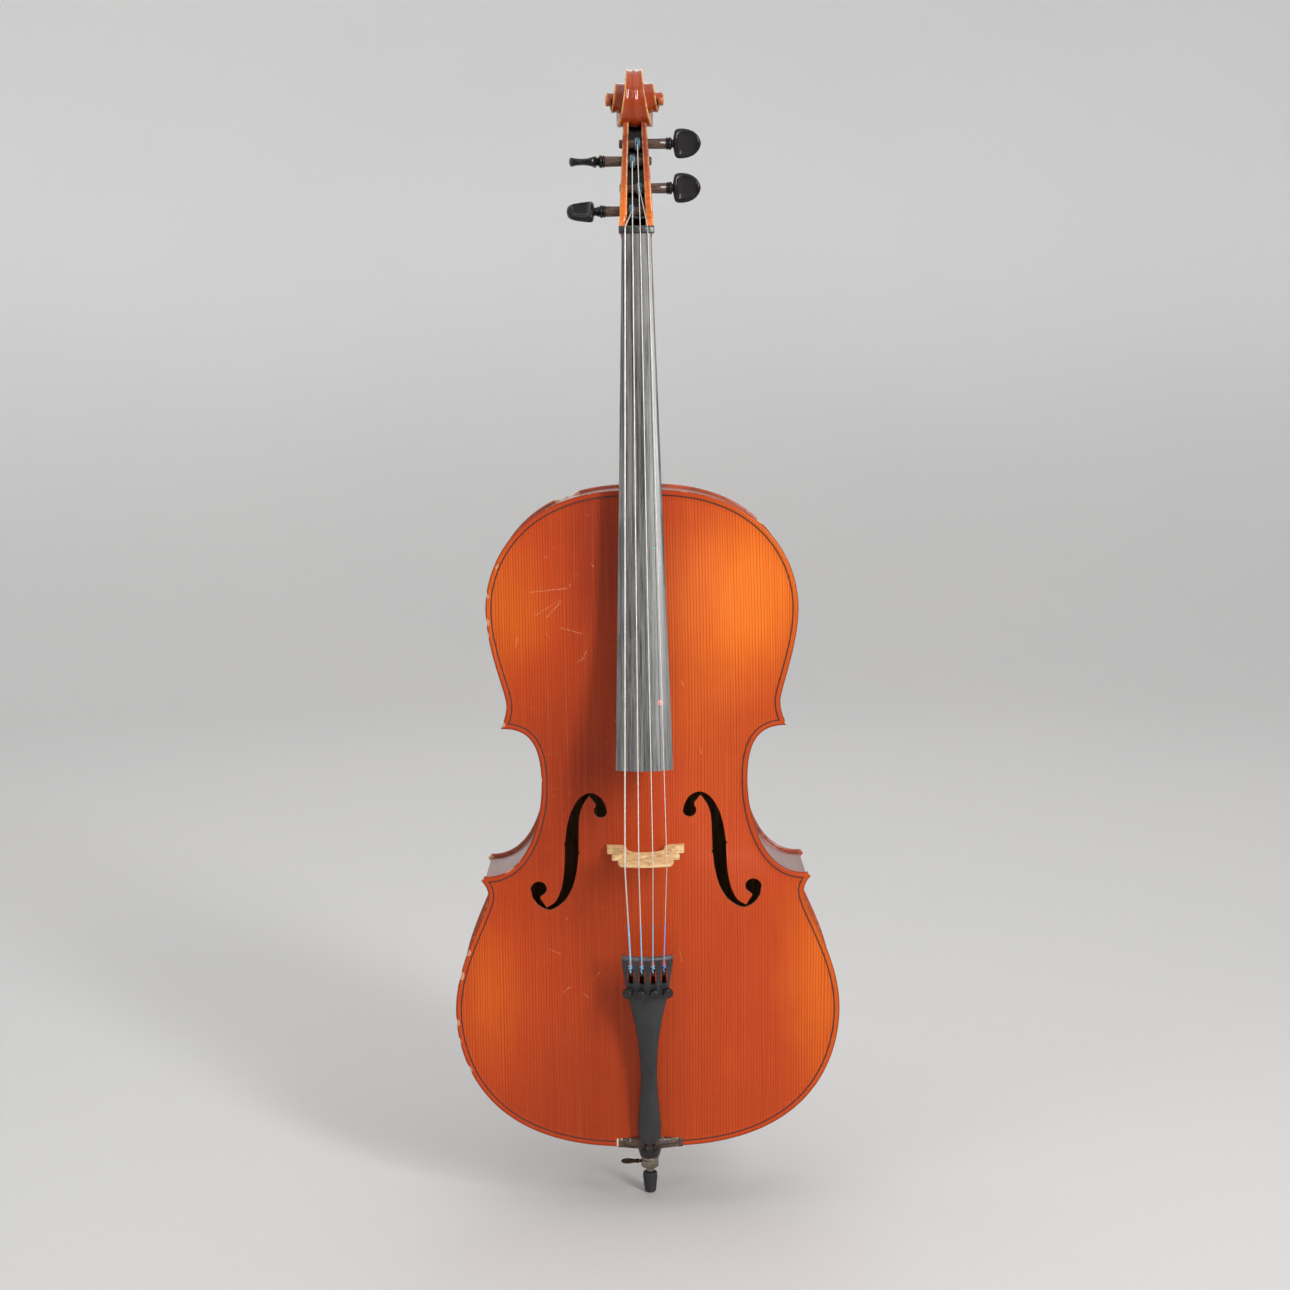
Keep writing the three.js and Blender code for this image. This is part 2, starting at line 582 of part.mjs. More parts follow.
// ---- Fingerboard, nut and saddle ----------------------------------------------------------------
function arc(half, radius, top, steps) {
  return Array.from({ length: steps + 1 }, (_, i) => {
    const x = half * (1 - (2 * i) / steps);
    return [x, top + radius - Math.sqrt(radius ** 2 - x ** 2)];
  });
}

function buildFingerboard() {
  const stations = [NUT_Z, 900, BODY_LENGTH, 600, NUT_Z - FINGERBOARD_LENGTH];
  const rings = stations.map((z) => {
    const half = boardHalf(z);
    const top = arc(half, FINGERBOARD_RADIUS, fingerboardTop(z), 8).map(([x, y]) => at(x, y, z));
    return [at(half, gluePlane(z), z), ...top, at(-half, gluePlane(z), z)];
  });
  piece('fingerboard', loft(rings), EBONY);

  const nutTop = fingerboardTop(NUT_Z) - 1.3;
  const nut = [[NUT_HALF, gluePlane(NUT_Z)], [NUT_HALF, nutTop + 4.6], ...arc(NUT_HALF - 1.5, 62, nutTop, 6),
    [-NUT_HALF, nutTop + 4.6], [-NUT_HALF, gluePlane(NUT_Z)]];
  piece('nut', extrude(nut, 'z', NUT_Z + GAP, NUT_Z + GAP + NUT_LENGTH), EBONY);

  const saddleTop = -68;
  const saddle = [[SADDLE_HALF, -RIB_HEIGHT / 2 - GAP], [SADDLE_HALF, -61.5], [SADDLE_HALF - 14, -64.5],
    [12, saddleTop], [-12, saddleTop], [14 - SADDLE_HALF, -64.5], [-SADDLE_HALF, -61.5],
    [-SADDLE_HALF, -RIB_HEIGHT / 2 - GAP]];
  piece('saddle', extrude(saddle, 'z', -0.8, SADDLE_RUN), EBONY);
}

// ---- Bridge -------------------------------------------------------------------------------------
const bridgeBase = bellyY(0, BRIDGE_Z);
const bridgeTop = (x) => bridgeBase - BRIDGE_HEIGHT + BRIDGE_RADIUS - Math.sqrt(BRIDGE_RADIUS ** 2 - x ** 2);

function buildBridge(belly) {
  const up = (height) => bridgeBase - height;
  const sunk = (x) => bridgeBase - bellyY(x, BRIDGE_Z) - 1.5;
  const outside = [[43.5, sunk(43.5)], [43.5, 0], [42, 4], [33, 9], [28.5, 20], [29, 30], [36, 40], [36.5, 45],
    [31, 48], [25, 47], [22, 51], [23, 57], [29, 60], [31, 65], [28.3, 76.5], [26.5, 82.5]];
  const underArch = [[0, 37], [11, 32], [17.5, 20], [20, 8], [25, 4], [26, sunk(26)]];
  const right = outside.map(([x, h]) => [x, up(h)]);
  const inside = underArch.map(([x, h]) => [x, up(h)]);
  const crown = [18, 9, 0, -9, -18].map((x) => [x, bridgeTop(x)]);
  const outline = [...right, ...crown, ...reversed(mirrored(right)),
    ...reversed(mirrored(inside)), ...inside.slice(1)];
  const heart = [[0, 46], [7, 52], [9, 59], [5, 63], [0, 60], [-5, 63], [-9, 59], [-7, 52]];
  const half = BRIDGE_FOOT_THICKNESS / 2;
  const silhouette = solid(extrude(outline, 'z', BRIDGE_Z - half, BRIDGE_Z + half));
  const opening = solid(extrude(heart.map(([x, h]) => [x, up(h)]), 'z', BRIDGE_Z - 20, BRIDGE_Z + 20));
  const wedge = [[up(-20), BRIDGE_Z - half], [up(10), BRIDGE_Z - half],
    [up(BRIDGE_HEIGHT + 1), BRIDGE_Z - BRIDGE_TOP_THICKNESS / 2],
    [up(BRIDGE_HEIGHT + 1), BRIDGE_Z + BRIDGE_TOP_THICKNESS / 2], [up(10), BRIDGE_Z + half],
    [up(-20), BRIDGE_Z + half]];
  const blank = silhouette.subtract(opening).intersect(solid(extrude(wedge, 'x', -60, 60)));
  piece('bridge', surface(blank.subtract(belly.translate([0, -GAP, 0]))), BRIDGE_MAPLE);
}

// ---- Tailpiece ----------------------------------------------------------------------------------
const TAIL_SLOPE = (TAIL_END_Y - TAIL_TOP_Y) / (TAIL_TOP_Z - TAIL_END_Z);
const tailSurface = (z) => TAIL_TOP_Y + TAIL_SLOPE * (TAIL_TOP_Z - z);
const TAIL_WIDTH = [[8, 9], [12, 20], [18, 25.5], [27, 27.3], [46, 24.2], [71, 20.4], [94, 18.5], [118, 19.7],
  [142, 23.5], [166, 31], [187, 40.5], [207, 48.5], [238, 57], [TAIL_TOP_Z, 58]];
const TAIL_RADIUS = [[8, 16], [46, 16], [94, 13], [142, 18], [203, 45], [TAIL_TOP_Z, 52]];

function tailSag(x, z) {
  const radius = along(TAIL_RADIUS, z);
  return radius - Math.sqrt(radius ** 2 - Math.min(Math.abs(x), radius) ** 2);
}

const tailNormal = at(0, -1, -TAIL_SLOPE).normalize();
const tunerNormal = (x) => tailNormal.clone().multiplyScalar(Math.cos(Math.atan(x / 55)))
  .add(at(Math.sin(Math.atan(x / 55)), 0, 0));

const LEVER_TRAVEL = 3;
const LEVER_CLEARANCE = 3.7;      // left under the tailpiece, whose sides sag below its middle
const SHANK_RADIUS = 1.5;
const KNOB = { radius: 5.8, height: 6, lift: 2.6 };

function tunerFrame(x) {
  const group = new THREE.Group();
  group.position.set(x, tailSurface(TUNER_Z) + tailSag(x, TUNER_Z), TUNER_Z);
  group.quaternion.setFromUnitVectors(at(0, 0, 1), tunerNormal(x));
  body.add(group);
  return group;
}

function buildTailpiece() {
  const stations = TAIL_WIDTH.map(([z]) => z);
  const columns = [1, 0.85, 0.5, 0, -0.5, -0.85, -1];
  const rings = stations.map((z) => {
    const half = along(TAIL_WIDTH, z) / 2;
    const y = (x) => tailSurface(z) + tailSag(x, z);
    const top = columns.map((u) => at(u * half, y(u * half), z));
    const under = columns.map((u) => at(u * half * 0.92, y(u * half) + TAIL_THICKNESS, z));
    return [...top, ...under.reverse()];
  });
  let shape = solid(loft(rings));
  STRINGS.forEach(({ slotX, tunerX }) => {
    const slot = new THREE.BoxGeometry(SLOT_WIDTH, 60, SLOT_HIGH_Z - SLOT_LOW_Z);
    slot.translate(slotX, TAIL_TOP_Y, (SLOT_LOW_Z + SLOT_HIGH_Z) / 2);
    const hole = rod(SHANK_RADIUS + 0.35, -15, 15, 'z', 12);
    hole.applyQuaternion(new THREE.Quaternion().setFromUnitVectors(at(0, 0, 1), tunerNormal(tunerX)));
    hole.translate(tunerX, tailSurface(TUNER_Z) + tailSag(tunerX, TUNER_Z), TUNER_Z);
    shape = shape.subtract(solid(slot)).subtract(solid(hole));
  });
  piece('tailpiece', surface(shape), COMPOSITE);
}

// Each fine tuner: a knob on a threaded shank that tips a lever; the lever's fork holds the string's end.
function buildTuners() {
  STRINGS.forEach(({ name, slotX, tunerX }) => {
    const frame = tunerFrame(tunerX);
    const knobProfile = [[0, KNOB.lift], [KNOB.radius - 1, KNOB.lift], [KNOB.radius, KNOB.lift + 1],
      [KNOB.radius, KNOB.lift + KNOB.height - 1.5], [KNOB.radius - 1.6, KNOB.lift + KNOB.height],
      [0, KNOB.lift + KNOB.height]];
    piece(`tuner_knob_${name}`, turned(knobProfile, 16, 'z'), BLACK_METAL, frame);
    const shankLow = -TAIL_THICKNESS - LEVER_TRAVEL - LEVER_CLEARANCE + 2.6;
    piece(`tuner_screw_${name}`, rod(SHANK_RADIUS, shankLow, KNOB.lift - GAP, 'z', 12), STEEL, frame);

    const lever = new THREE.Group();
    const reach = LEVER_PIVOT_Z - TUNER_Z;
    lever.position.set(slotX, tailSurface(LEVER_PIVOT_Z) + tailSag(slotX, LEVER_PIVOT_Z), LEVER_PIVOT_Z);
    lever.rotation.x = Math.atan(TAIL_SLOPE);
    body.add(lever);
    const arm = TAIL_THICKNESS + LEVER_TRAVEL + LEVER_CLEARANCE;
    const profile = [[arm, -reach - 3], [arm + 2.6, -reach - 3], [9.5, 1], [7, 4.2], [-0.6, 4.6], [-0.6, 1.8],
      [5.4, 0.8]];
    const blank = solid(extrude(profile, 'x', -2.4, 2.4));
    const notch = new THREE.BoxGeometry(2 * 0.8 + 0.9, 6.5, 12).translate(0, -0.5, 3);
    piece(`tuner_lever_${name}`, surface(blank.subtract(solid(notch))), BLACK_METAL, lever);
  });
}

// ---- Strings and their windings -----------------------------------------------------------------
const WINDING_OUTER = 7.4;

// A round string through points, with its bends mitred.
function stringRun(points, radius, sides = 6) {
  return loft(points.map((p, i) => {
    const before = points[Math.max(i - 1, 0)];
    const after = points[Math.min(i + 1, points.length - 1)];
    const direction = after.clone().sub(before).normalize();
    const across = unit.x.clone().addScaledVector(direction, -direction.x).normalize();
    const third = direction.clone().cross(across);
    return Array.from({ length: sides }, (_, k) => {
      const angle = (2 * Math.PI * k) / sides;
      return p.clone().addScaledVector(across, radius * Math.cos(angle)).addScaledVector(third, radius * Math.sin(angle));
    });
  }));
}

function buildStrings() {
  STRINGS.forEach(({ name, radius, nutX, bridgeX, slotX, windX, peg }) => {
    const lift = radius + GAP;
    const nutY = fingerboardTop(NUT_Z) - 1.3 + 62 - Math.sqrt(62 ** 2 - nutX ** 2) - lift;
    const tailY = (z) => tailSurface(z) + tailSag(slotX, z);
    const ballZ = LEVER_PIVOT_Z - 2.6;
    const ballY = tailY(ballZ) + 0.8;
    const path = [
      at(windX, peg.y - WINDING_OUTER - lift - 0.4, peg.z - 1),
      at(nutX, nutY, NUT_Z + NUT_LENGTH + 1),
      at(nutX, nutY, NUT_Z + 3),
      at(bridgeX, bridgeTop(bridgeX) - lift - 0.1, BRIDGE_Z + 1.5),
      at(bridgeX, bridgeTop(bridgeX) - lift - 0.1, BRIDGE_Z - 1.5),
      at(slotX, tailY(TAIL_TOP_Z) - lift - 0.3, TAIL_TOP_Z),
      at(slotX, ballY, ballZ),
    ];
    const ball = rod(2.1, -1.8, 1.8, 'x', 10).translate(slotX, ballY, ballZ);
    piece(`string_${name}`, surface(solid(stringRun(path, radius)).add(solid(ball))), STEEL);

    const wrap = 2 * radius + 0.35;
    const inner = shaftRadius(Math.abs(windX)) + 0.35;
    const start = windX - 3;
    const turns = 3;
    const profile = [[inner, start]];
    for (let i = 0; i < turns; i += 1) {
      profile.push([WINDING_OUTER - wrap / 2, start + 2 * i], [WINDING_OUTER, start + 2 * i + 1]);
    }
    profile.push([WINDING_OUTER - wrap / 2, start + 6], [inner, start + 6], [inner, start]);
    const winding = turned(profile, 12, 'x').translate(0, peg.y, peg.z);
    piece(`string_winding_${name}`, winding, SILK);
  });
}

// ---- Pegs ---------------------------------------------------------------------------------------
function buildPegs() {
  STRINGS.forEach(({ name, peg }) => {
    const start = peg.end - 31;
    const profile = [[0, PEG_TIP - 1], [shaftRadius(PEG_TIP) - 0.8, PEG_TIP - 1], [shaftRadius(PEG_TIP), PEG_TIP],
      [shaftRadius(PEG_COLLAR), PEG_COLLAR], [7, PEG_COLLAR + 0.5], [6.4, PEG_COLLAR + 2], [7.3, PEG_COLLAR + 3.5],
      [6.9, PEG_COLLAR + 5.5], [4.4, start - 1], [4.4, start + 3], [0, start + 3]];
    const sections = [[0, 4.6, 4.4], [1.5, 12, 5.8], [4.5, 15.4, 6.2], [10, 16.4, 4.4], [17, 15.6, 3.9],
      [23.5, 12.6, 4.5], [28.5, 7.6, 5.2], [31, 2.6, 2.8]];
    const thumb = loft(sections.map(([x, tall, thick]) => Array.from({ length: 12 }, (_, i) => {
      const angle = (Math.PI * i) / 6;
      return at(start + x, thick * Math.cos(angle), tall * Math.sin(angle));
    })));
    const geometry = surface(solid(turned(profile, 14, 'x')).add(solid(thumb)));
    geometry.rotateX(peg.turn);
    const mesh = piece(`peg_${name}`, geometry, ROSEWOOD);
    mesh.rotation.z = peg.side < 0 ? Math.PI : 0;
    mesh.position.set(0, peg.y, peg.z);
  });
}

// ---- Endpin -------------------------------------------------------------------------------------
function buildEndpin() {
  const bore = ROD_RADIUS + GAP;
  const plug = [[bore, 42], [PLUG_RADIUS - 1, 42], [PLUG_RADIUS, OVERHANG - GAP], [16, OVERHANG - GAP], [16, -3],
    [14.5, -5], [10.5, -6.5], [10.5, -11.5], [14.5, -13], [15.5, -17], [11.5, -33], [bore, -33], [bore, 42]];
  piece('endpin_plug', turned(plug, 20, 'z'), ROSEWOOD);

  const collarTop = -33 - GAP;
  const collar = turned([[bore, collarTop], [9.8, collarTop], [10.3, collarTop - 1], [10.3, -45], [9.6, -46],
    [bore, -46], [bore, collarTop]], 24, 'z');
  const screwHole = rod(2.6, -20, -2, 'x', 12).translate(0, 0, THUMBSCREW_Z);
  piece('endpin_collar', surface(solid(collar).subtract(solid(screwHole))), STEEL);

  const shank = rod(2.2, -15, -bore - GAP, 'x', 12);
  const spoon = loft([[-13, 2, 2], [-16, 2.4, 1.8], [-21, 4.4, 1.6], [-27, 5, 1.6], [-32, 3.4, 1.5],
    [-34, 1.2, 1]].map(([x, tall, thick]) => Array.from({ length: 10 }, (_, i) => {
    const angle = (Math.PI * i) / 5;
    return at(x, thick * Math.cos(angle), tall * Math.sin(angle));
  })));
  const screw = piece('endpin_thumbscrew', surface(solid(shank).add(solid(spoon))), BLACK_METAL);
  screw.position.z = THUMBSCREW_Z;

  const rodTop = ROD_LOW_Z + ROD_LENGTH;
  piece('endpin_rod', turned([[0, ROD_LOW_Z], [2, ROD_LOW_Z], [ROD_RADIUS, ROD_LOW_Z + 7], [ROD_RADIUS, rodTop],
    [0, rodTop]], 20, 'z'), STEEL);

  const tipTop = -52.5;
  piece('rubber_tip', turned([[0, -TIP_TO_BODY], [5, -TIP_TO_BODY], [6.6, -TIP_TO_BODY + 1.5], [8.4, -60],
    [8.4, tipTop - 1], [7.6, tipTop], [bore, tipTop], [bore, ROD_LOW_Z - GAP], [0, ROD_LOW_Z - GAP]], 20, 'z'), RUBBER);
}

function buildTailCord() {
  const half = [[5, -74, 7.4], [5, -72.2, 2], [5.4, -68.5, -2.9], [7, -60, -4.6], [10, -35, -7], [12.4, -14, -8.6],
    [12.6, 0, -9], [8.9, 8.9, -9]];
  const points = [...half, [0, 12.6, -9], ...reversed(half).map(([x, y, z]) => [-x, y, z])];
  const path = new THREE.CatmullRomCurve3(points.map(([x, y, z]) => at(x, y, z)), false, 'centripetal');
  const section = new THREE.Shape(circle(0, 0, 1.5, 8).map(([u, v]) => new THREE.Vector2(u, v)));
  piece('tail_cord', new THREE.ExtrudeGeometry(section, { steps: 30, bevelEnabled: false, extrudePath: path }), CORD);
}

const plates = buildPlates();
buildRibs();
buildBlocks();
buildInside(plates);
buildNeck();
buildFingerboard();
buildBridge(plates.belly);
buildTailpiece();
buildTuners();
buildStrings();
buildPegs();
buildEndpin();
buildTailCord();

export default cello;
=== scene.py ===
"""A full-size cello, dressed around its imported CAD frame. Lengths in this file are in millimetres in the
body's own frame (z = 0 at the lower edge of the body, belly towards -Y), and become metres in new_mesh()."""

import math

import bmesh
import bpy
import numpy as np
from mathutils import Matrix, Vector
from mathutils.geometry import delaunay_2d_cdt


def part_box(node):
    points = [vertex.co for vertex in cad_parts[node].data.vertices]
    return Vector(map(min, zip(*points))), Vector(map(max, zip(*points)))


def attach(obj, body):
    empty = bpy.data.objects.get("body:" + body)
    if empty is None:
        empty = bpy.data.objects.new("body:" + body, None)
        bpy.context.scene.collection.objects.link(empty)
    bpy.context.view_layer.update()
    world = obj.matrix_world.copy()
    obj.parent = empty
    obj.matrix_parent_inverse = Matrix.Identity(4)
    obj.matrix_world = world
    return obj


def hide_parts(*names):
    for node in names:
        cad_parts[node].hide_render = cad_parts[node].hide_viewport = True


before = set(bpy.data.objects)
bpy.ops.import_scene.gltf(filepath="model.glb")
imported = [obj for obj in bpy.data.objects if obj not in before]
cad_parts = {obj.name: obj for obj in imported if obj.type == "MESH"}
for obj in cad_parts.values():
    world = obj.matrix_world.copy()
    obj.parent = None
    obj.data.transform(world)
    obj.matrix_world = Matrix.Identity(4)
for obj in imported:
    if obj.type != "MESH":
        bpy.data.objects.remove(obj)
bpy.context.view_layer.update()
MM = 0.001
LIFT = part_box("back_plate")[0].z / MM


def linked(name, data):
    """A new object in the scene that holds data."""
    obj = bpy.data.objects.new(name, data)
    bpy.context.scene.collection.objects.link(obj)
    return obj


# ---- Camera ----
CAMERA_PLACE = (-0.0031, -2.5, 0.9771)
CAMERA_YAW, CAMERA_PITCH, CAMERA_ROLL = -0.0024, 0.1297, -0.0145
CAMERA_LENS = 61.5


def build_camera():
    level = Vector((-math.sin(CAMERA_YAW), math.cos(CAMERA_YAW), 0))
    right = Vector((math.cos(CAMERA_YAW), math.sin(CAMERA_YAW), 0))
    upright = Vector((0, 0, 1))
    ahead = level * math.cos(CAMERA_PITCH) - upright * math.sin(CAMERA_PITCH)
    up = level * math.sin(CAMERA_PITCH) + upright * math.cos(CAMERA_PITCH)
    c, s = math.cos(CAMERA_ROLL), math.sin(CAMERA_ROLL)
    data = bpy.data.cameras.new("camera")
    data.lens, data.sensor_width = CAMERA_LENS, 36
    data.clip_start, data.clip_end = 0.05, 60
    camera = linked("camera", data)
    axes = Matrix((right * c + up * s, up * c - right * s, -ahead)).transposed().to_4x4()
    camera.matrix_world = Matrix.Translation(CAMERA_PLACE) @ axes
    bpy.context.scene.camera = camera


build_camera()


# ---- Shader helpers ----
def rgb(r, g, b):
    """A colour given as 0-255 sRGB, as the linear values that shaders take."""
    def linear(v):
        v /= 255
        return v / 12.92 if v <= 0.04045 else ((v + 0.055) / 1.055) ** 2.4
    return (linear(r), linear(g), linear(b), 1.0)


class Value:
    """A node's output. Arithmetic on it adds a math node."""

    def __init__(self, shader, socket):
        self.shader, self.socket = shader, socket

    def __add__(self, other):
        return self.shader.math("ADD", self, other)

    def __sub__(self, other):
        return self.shader.math("SUBTRACT", self, other)

    def __mul__(self, other):
        return self.shader.math("MULTIPLY", self, other)


class Shader:
    """A material under construction: small functions that add a node and return its output."""

    def __init__(self, name, roughness=0.5, metallic=0.0, specular=0.5, coat=0.0, coat_roughness=0.1):
        self.material = bpy.data.materials.new(name)
        self.material.use_nodes = True
        self.tree = self.material.node_tree
        self.bsdf = self.tree.nodes["Principled BSDF"]
        for key, value in (("Roughness", roughness), ("Metallic", metallic), ("Specular IOR Level", specular),
                           ("Coat Weight", coat), ("Coat Roughness", coat_roughness)):
            self.bsdf.inputs[key].default_value = value
        self.space = self.node("ShaderNodeTexCoord", "Object")
        self.axes = {name: self.node("ShaderNodeSeparateXYZ", name, {0: self.space}) for name in "XZ"}

    def put(self, socket, value):
        if isinstance(value, Value):
            self.tree.links.new(value.socket, socket)
        else:
            socket.default_value = value

    def node(self, kind, output, inputs=None, **settings):
        """Adds a node, fills its inputs and returns one of its outputs."""
        made = self.tree.nodes.new(kind)
        for key, value in settings.items():
            setattr(made, key, value)
        for key, value in (inputs or {}).items():
            self.put(made.inputs[key], value)
        return Value(self, made.outputs[output])

    def scaled(self, scale, source=None):
        """Object coordinates times 1 / the feature's size in metres: one number, or one for each axis."""
        scale = scale if isinstance(scale, tuple) else (scale, scale, scale)
        return self.node("ShaderNodeMapping", "Vector", {"Vector": source or self.space, "Scale": scale})

    def noise(self, scale, detail=2, rough=0.5, distortion=0.0, source=None):
        return self.node("ShaderNodeTexNoise", "Fac", {
            "Vector": self.scaled(scale, source), "Scale": 1, "Detail": detail, "Roughness": rough,
            "Distortion": distortion})

    def cells(self, scale):
        return self.node("ShaderNodeTexVoronoi", "Distance", {"Vector": self.scaled(scale), "Scale": 1})

    def line(self, run):
        """Coordinates that change along one run only."""
        return self.node("ShaderNodeCombineXYZ", 0, {"X": run})

    def attribute(self, name):
        return self.node("ShaderNodeAttribute", "Fac", attribute_name=name)

    def math(self, operation, a, b=0.0):
        return self.node("ShaderNodeMath", 0, {0: a, 1: b}, operation=operation)

    def ramp(self, value, low, high, start=0.0, end=1.0, smooth=True):
        return self.node("ShaderNodeMapRange", "Result", {
            "Value": value, "From Min": low, "From Max": high, "To Min": start, "To Max": end},
            interpolation_type="SMOOTHSTEP" if smooth else "LINEAR")

    def mix(self, factor, a, b):
        return self.node("ShaderNodeMix", 2, {0: factor, 6: a, 7: b}, data_type="RGBA")

    def tint(self, base, mask, low, high, amount, colour):
        """base with up to amount of colour over it where mask runs from low to high."""
        return self.mix(self.ramp(mask, low, high, 0, amount), base, colour)

    def bump(self, height, depth_mm, strength=1.0, under=None):
        inputs = {"Distance": depth_mm * MM, "Strength": strength, "Height": height}
        return self.node("ShaderNodeBump", "Normal", {**inputs, "Normal": under} if under else inputs)

    def finish(self, colour, roughness, normal=None):
        for name, value in (("Base Color", colour), ("Roughness", roughness), ("Normal", normal)):
            if value is not None:
                self.put(self.bsdf.inputs[name], value)
        return self.material


def scratch(s, ax, az, bx, bz, width):
    """Mask of one straight scratch from (ax, az) to (bx, bz) on the belly, in mm."""
    px = s.axes["X"] - ax * MM
    pz = s.axes["Z"] - (az + LIFT) * MM
    dx, dz = (bx - ax) * MM, (bz - az) * MM
    length = math.hypot(dx, dz)
    ux, uz = dx / length, dz / length
    run = px * ux + pz * uz
    off = s.math("ABSOLUTE", px * uz - pz * ux)
    inside = s.ramp(run, 0, 3 * MM) * s.ramp(run, length - 3 * MM, length, 1, 0)
    return inside * s.ramp(off, width * MM * 0.3, width * MM, 1, 0)


# ---- Materials ----
BELLY_SCRATCHES = [(-126, 643, -80, 648, 0.9), (-80, 648, -79, 654, 1.3), (-121, 616, -89, 636, 0.7),
                   (-107, 614, -88, 635, 0.8), (-94, 605, -66, 597, 0.7), (-108, 598, -102, 591, 0.8),
                   (-68, 568, -61, 580, 0.9), (-74, 565, -62, 572, 0.6), (-110, 680, -102, 684, 0.6),
                   (-56, 675, -52, 670, 0.9), (-97, 187, -86, 196, 0.8), (-74, 190, -66, 181, 0.8),
                   (-112, 238, -96, 232, 0.7), (-60, 205, -52, 214, 0.7), (42, 545, 47, 533, 0.6),
                   (61, 470, 65, 458, 0.6), (-32, 498, -26, 515, 0.6), (36, 240, 40, 222, 0.5),
                   (-142, 580, -139, 594, 0.7), (88, 330, 92, 318, 0.5), ]


def spruce():
    """Straight-grained spruce under a red-brown varnish that thins to orange towards the flanks, darkened
    beside the fingerboard by a painted shadow.
    """
    s = Shader("varnished_spruce", specular=0.16, coat=0.05, coat_roughness=0.16)
    drift = s.noise((18, 6, 2.2), 1)
    x = s.axes["X"] + drift * 0.012
    line = s.line(x)
    fine = s.noise((640, 0, 0), 3, 0.75, source=line)
    uneven = s.noise((28, 0, 0), 1, source=line)
    phase = x * (2 * math.pi / 0.0031) + uneven * 14
    rings = s.ramp(s.math("SINE", phase), 0.1, 0.95)
    streak = s.noise((520, 20, 5), 2, 0.7)
    grain = rings * s.ramp(streak, 0.3, 0.6, 0.4, 1) * 0.5 + s.ramp(fine, 0.42, 0.7) * 0.35
    cross = s.noise((90, 40, 260), 2, 0.6)
    cloud = s.noise((9, 4, 5), 4, 0.6)
    # the warmth mark holds the varnish tone and a painted shadow of the fingerboard
    warm = s.attribute("warm") + (cloud - 0.5) * 0.5
    low, high = s.ramp(warm, 0, 0.5, smooth=False), s.ramp(warm, 0.5, 1.05, smooth=False)
    varnish = s.mix(high, s.mix(low, rgb(138, 44, 19), rgb(190, 70, 25)), rgb(234, 114, 24))
    dark = s.mix(high, s.mix(low, rgb(96, 20, 8), rgb(112, 24, 4)), rgb(146, 46, 2))
    colour = s.mix(grain * s.ramp(warm, 0.1, 0.7, 0.62, 1.0), varnish, dark)
    colour = s.tint(colour, streak, 0.4, 0.75, 0.2, s.mix(high, rgb(206, 92, 44), rgb(244, 146, 52)))
    colour = s.tint(colour, cross, 0.6, 0.8, 0.16, rgb(210, 104, 54))
    # the edge, handled more than the rest, is paler and worn to the wood in places
    edge = s.attribute("edge")
    colour = s.mix(s.ramp(edge, 0.2, 0.27, 0.45, 0), colour, s.mix(high, rgb(178, 60, 20), rgb(222, 112, 26)))
    colour = s.mix(s.ramp(edge, 0.03, 0.12, 0.55, 0), colour, rgb(92, 30, 12))
    rub = s.noise(60, 5, 0.75)
    where = s.noise(7)
    side = s.ramp(s.axes["X"], -40 * MM, 60 * MM, 1, 0.35)
    bare_edge = s.ramp(edge, 0.02, 0.1, 1, 0) * s.ramp(rub, 0.57, 0.64)
    bare_edge = bare_edge * (side * s.ramp(where, 0.4, 0.6))
    bare = s.math("MAXIMUM", bare_edge, s.ramp(s.attribute("chip"), 0.45, 0.8))
    breakup = s.ramp(s.noise(300, 3, 0.8), 0.35, 0.62)
    marks = 0.0
    for item in BELLY_SCRATCHES:
        marks = s.math("MAXIMUM", marks, scratch(s, *item))
    marks = marks * breakup
    nick = s.ramp(s.cells((46, 46, 30)), 0.0, 0.055, 1, 0)
    nick = nick * s.ramp(s.noise(12), 0.5, 0.6)
    colour = s.mix(s.math("MAXIMUM", marks, nick) * 0.5, colour, rgb(220, 156, 120))
    colour = s.mix(bare * 0.66, colour, rgb(214, 172, 132))
    rough = s.ramp(cloud, 0.3, 0.7, 0.3, 0.42) + marks * 0.3
    relief = s.bump(grain, 0.05, 0.4)
    relief = s.bump(s.noise(35, 3) - marks, 0.16, 0.35, relief)
    return s.finish(colour, rough, relief)


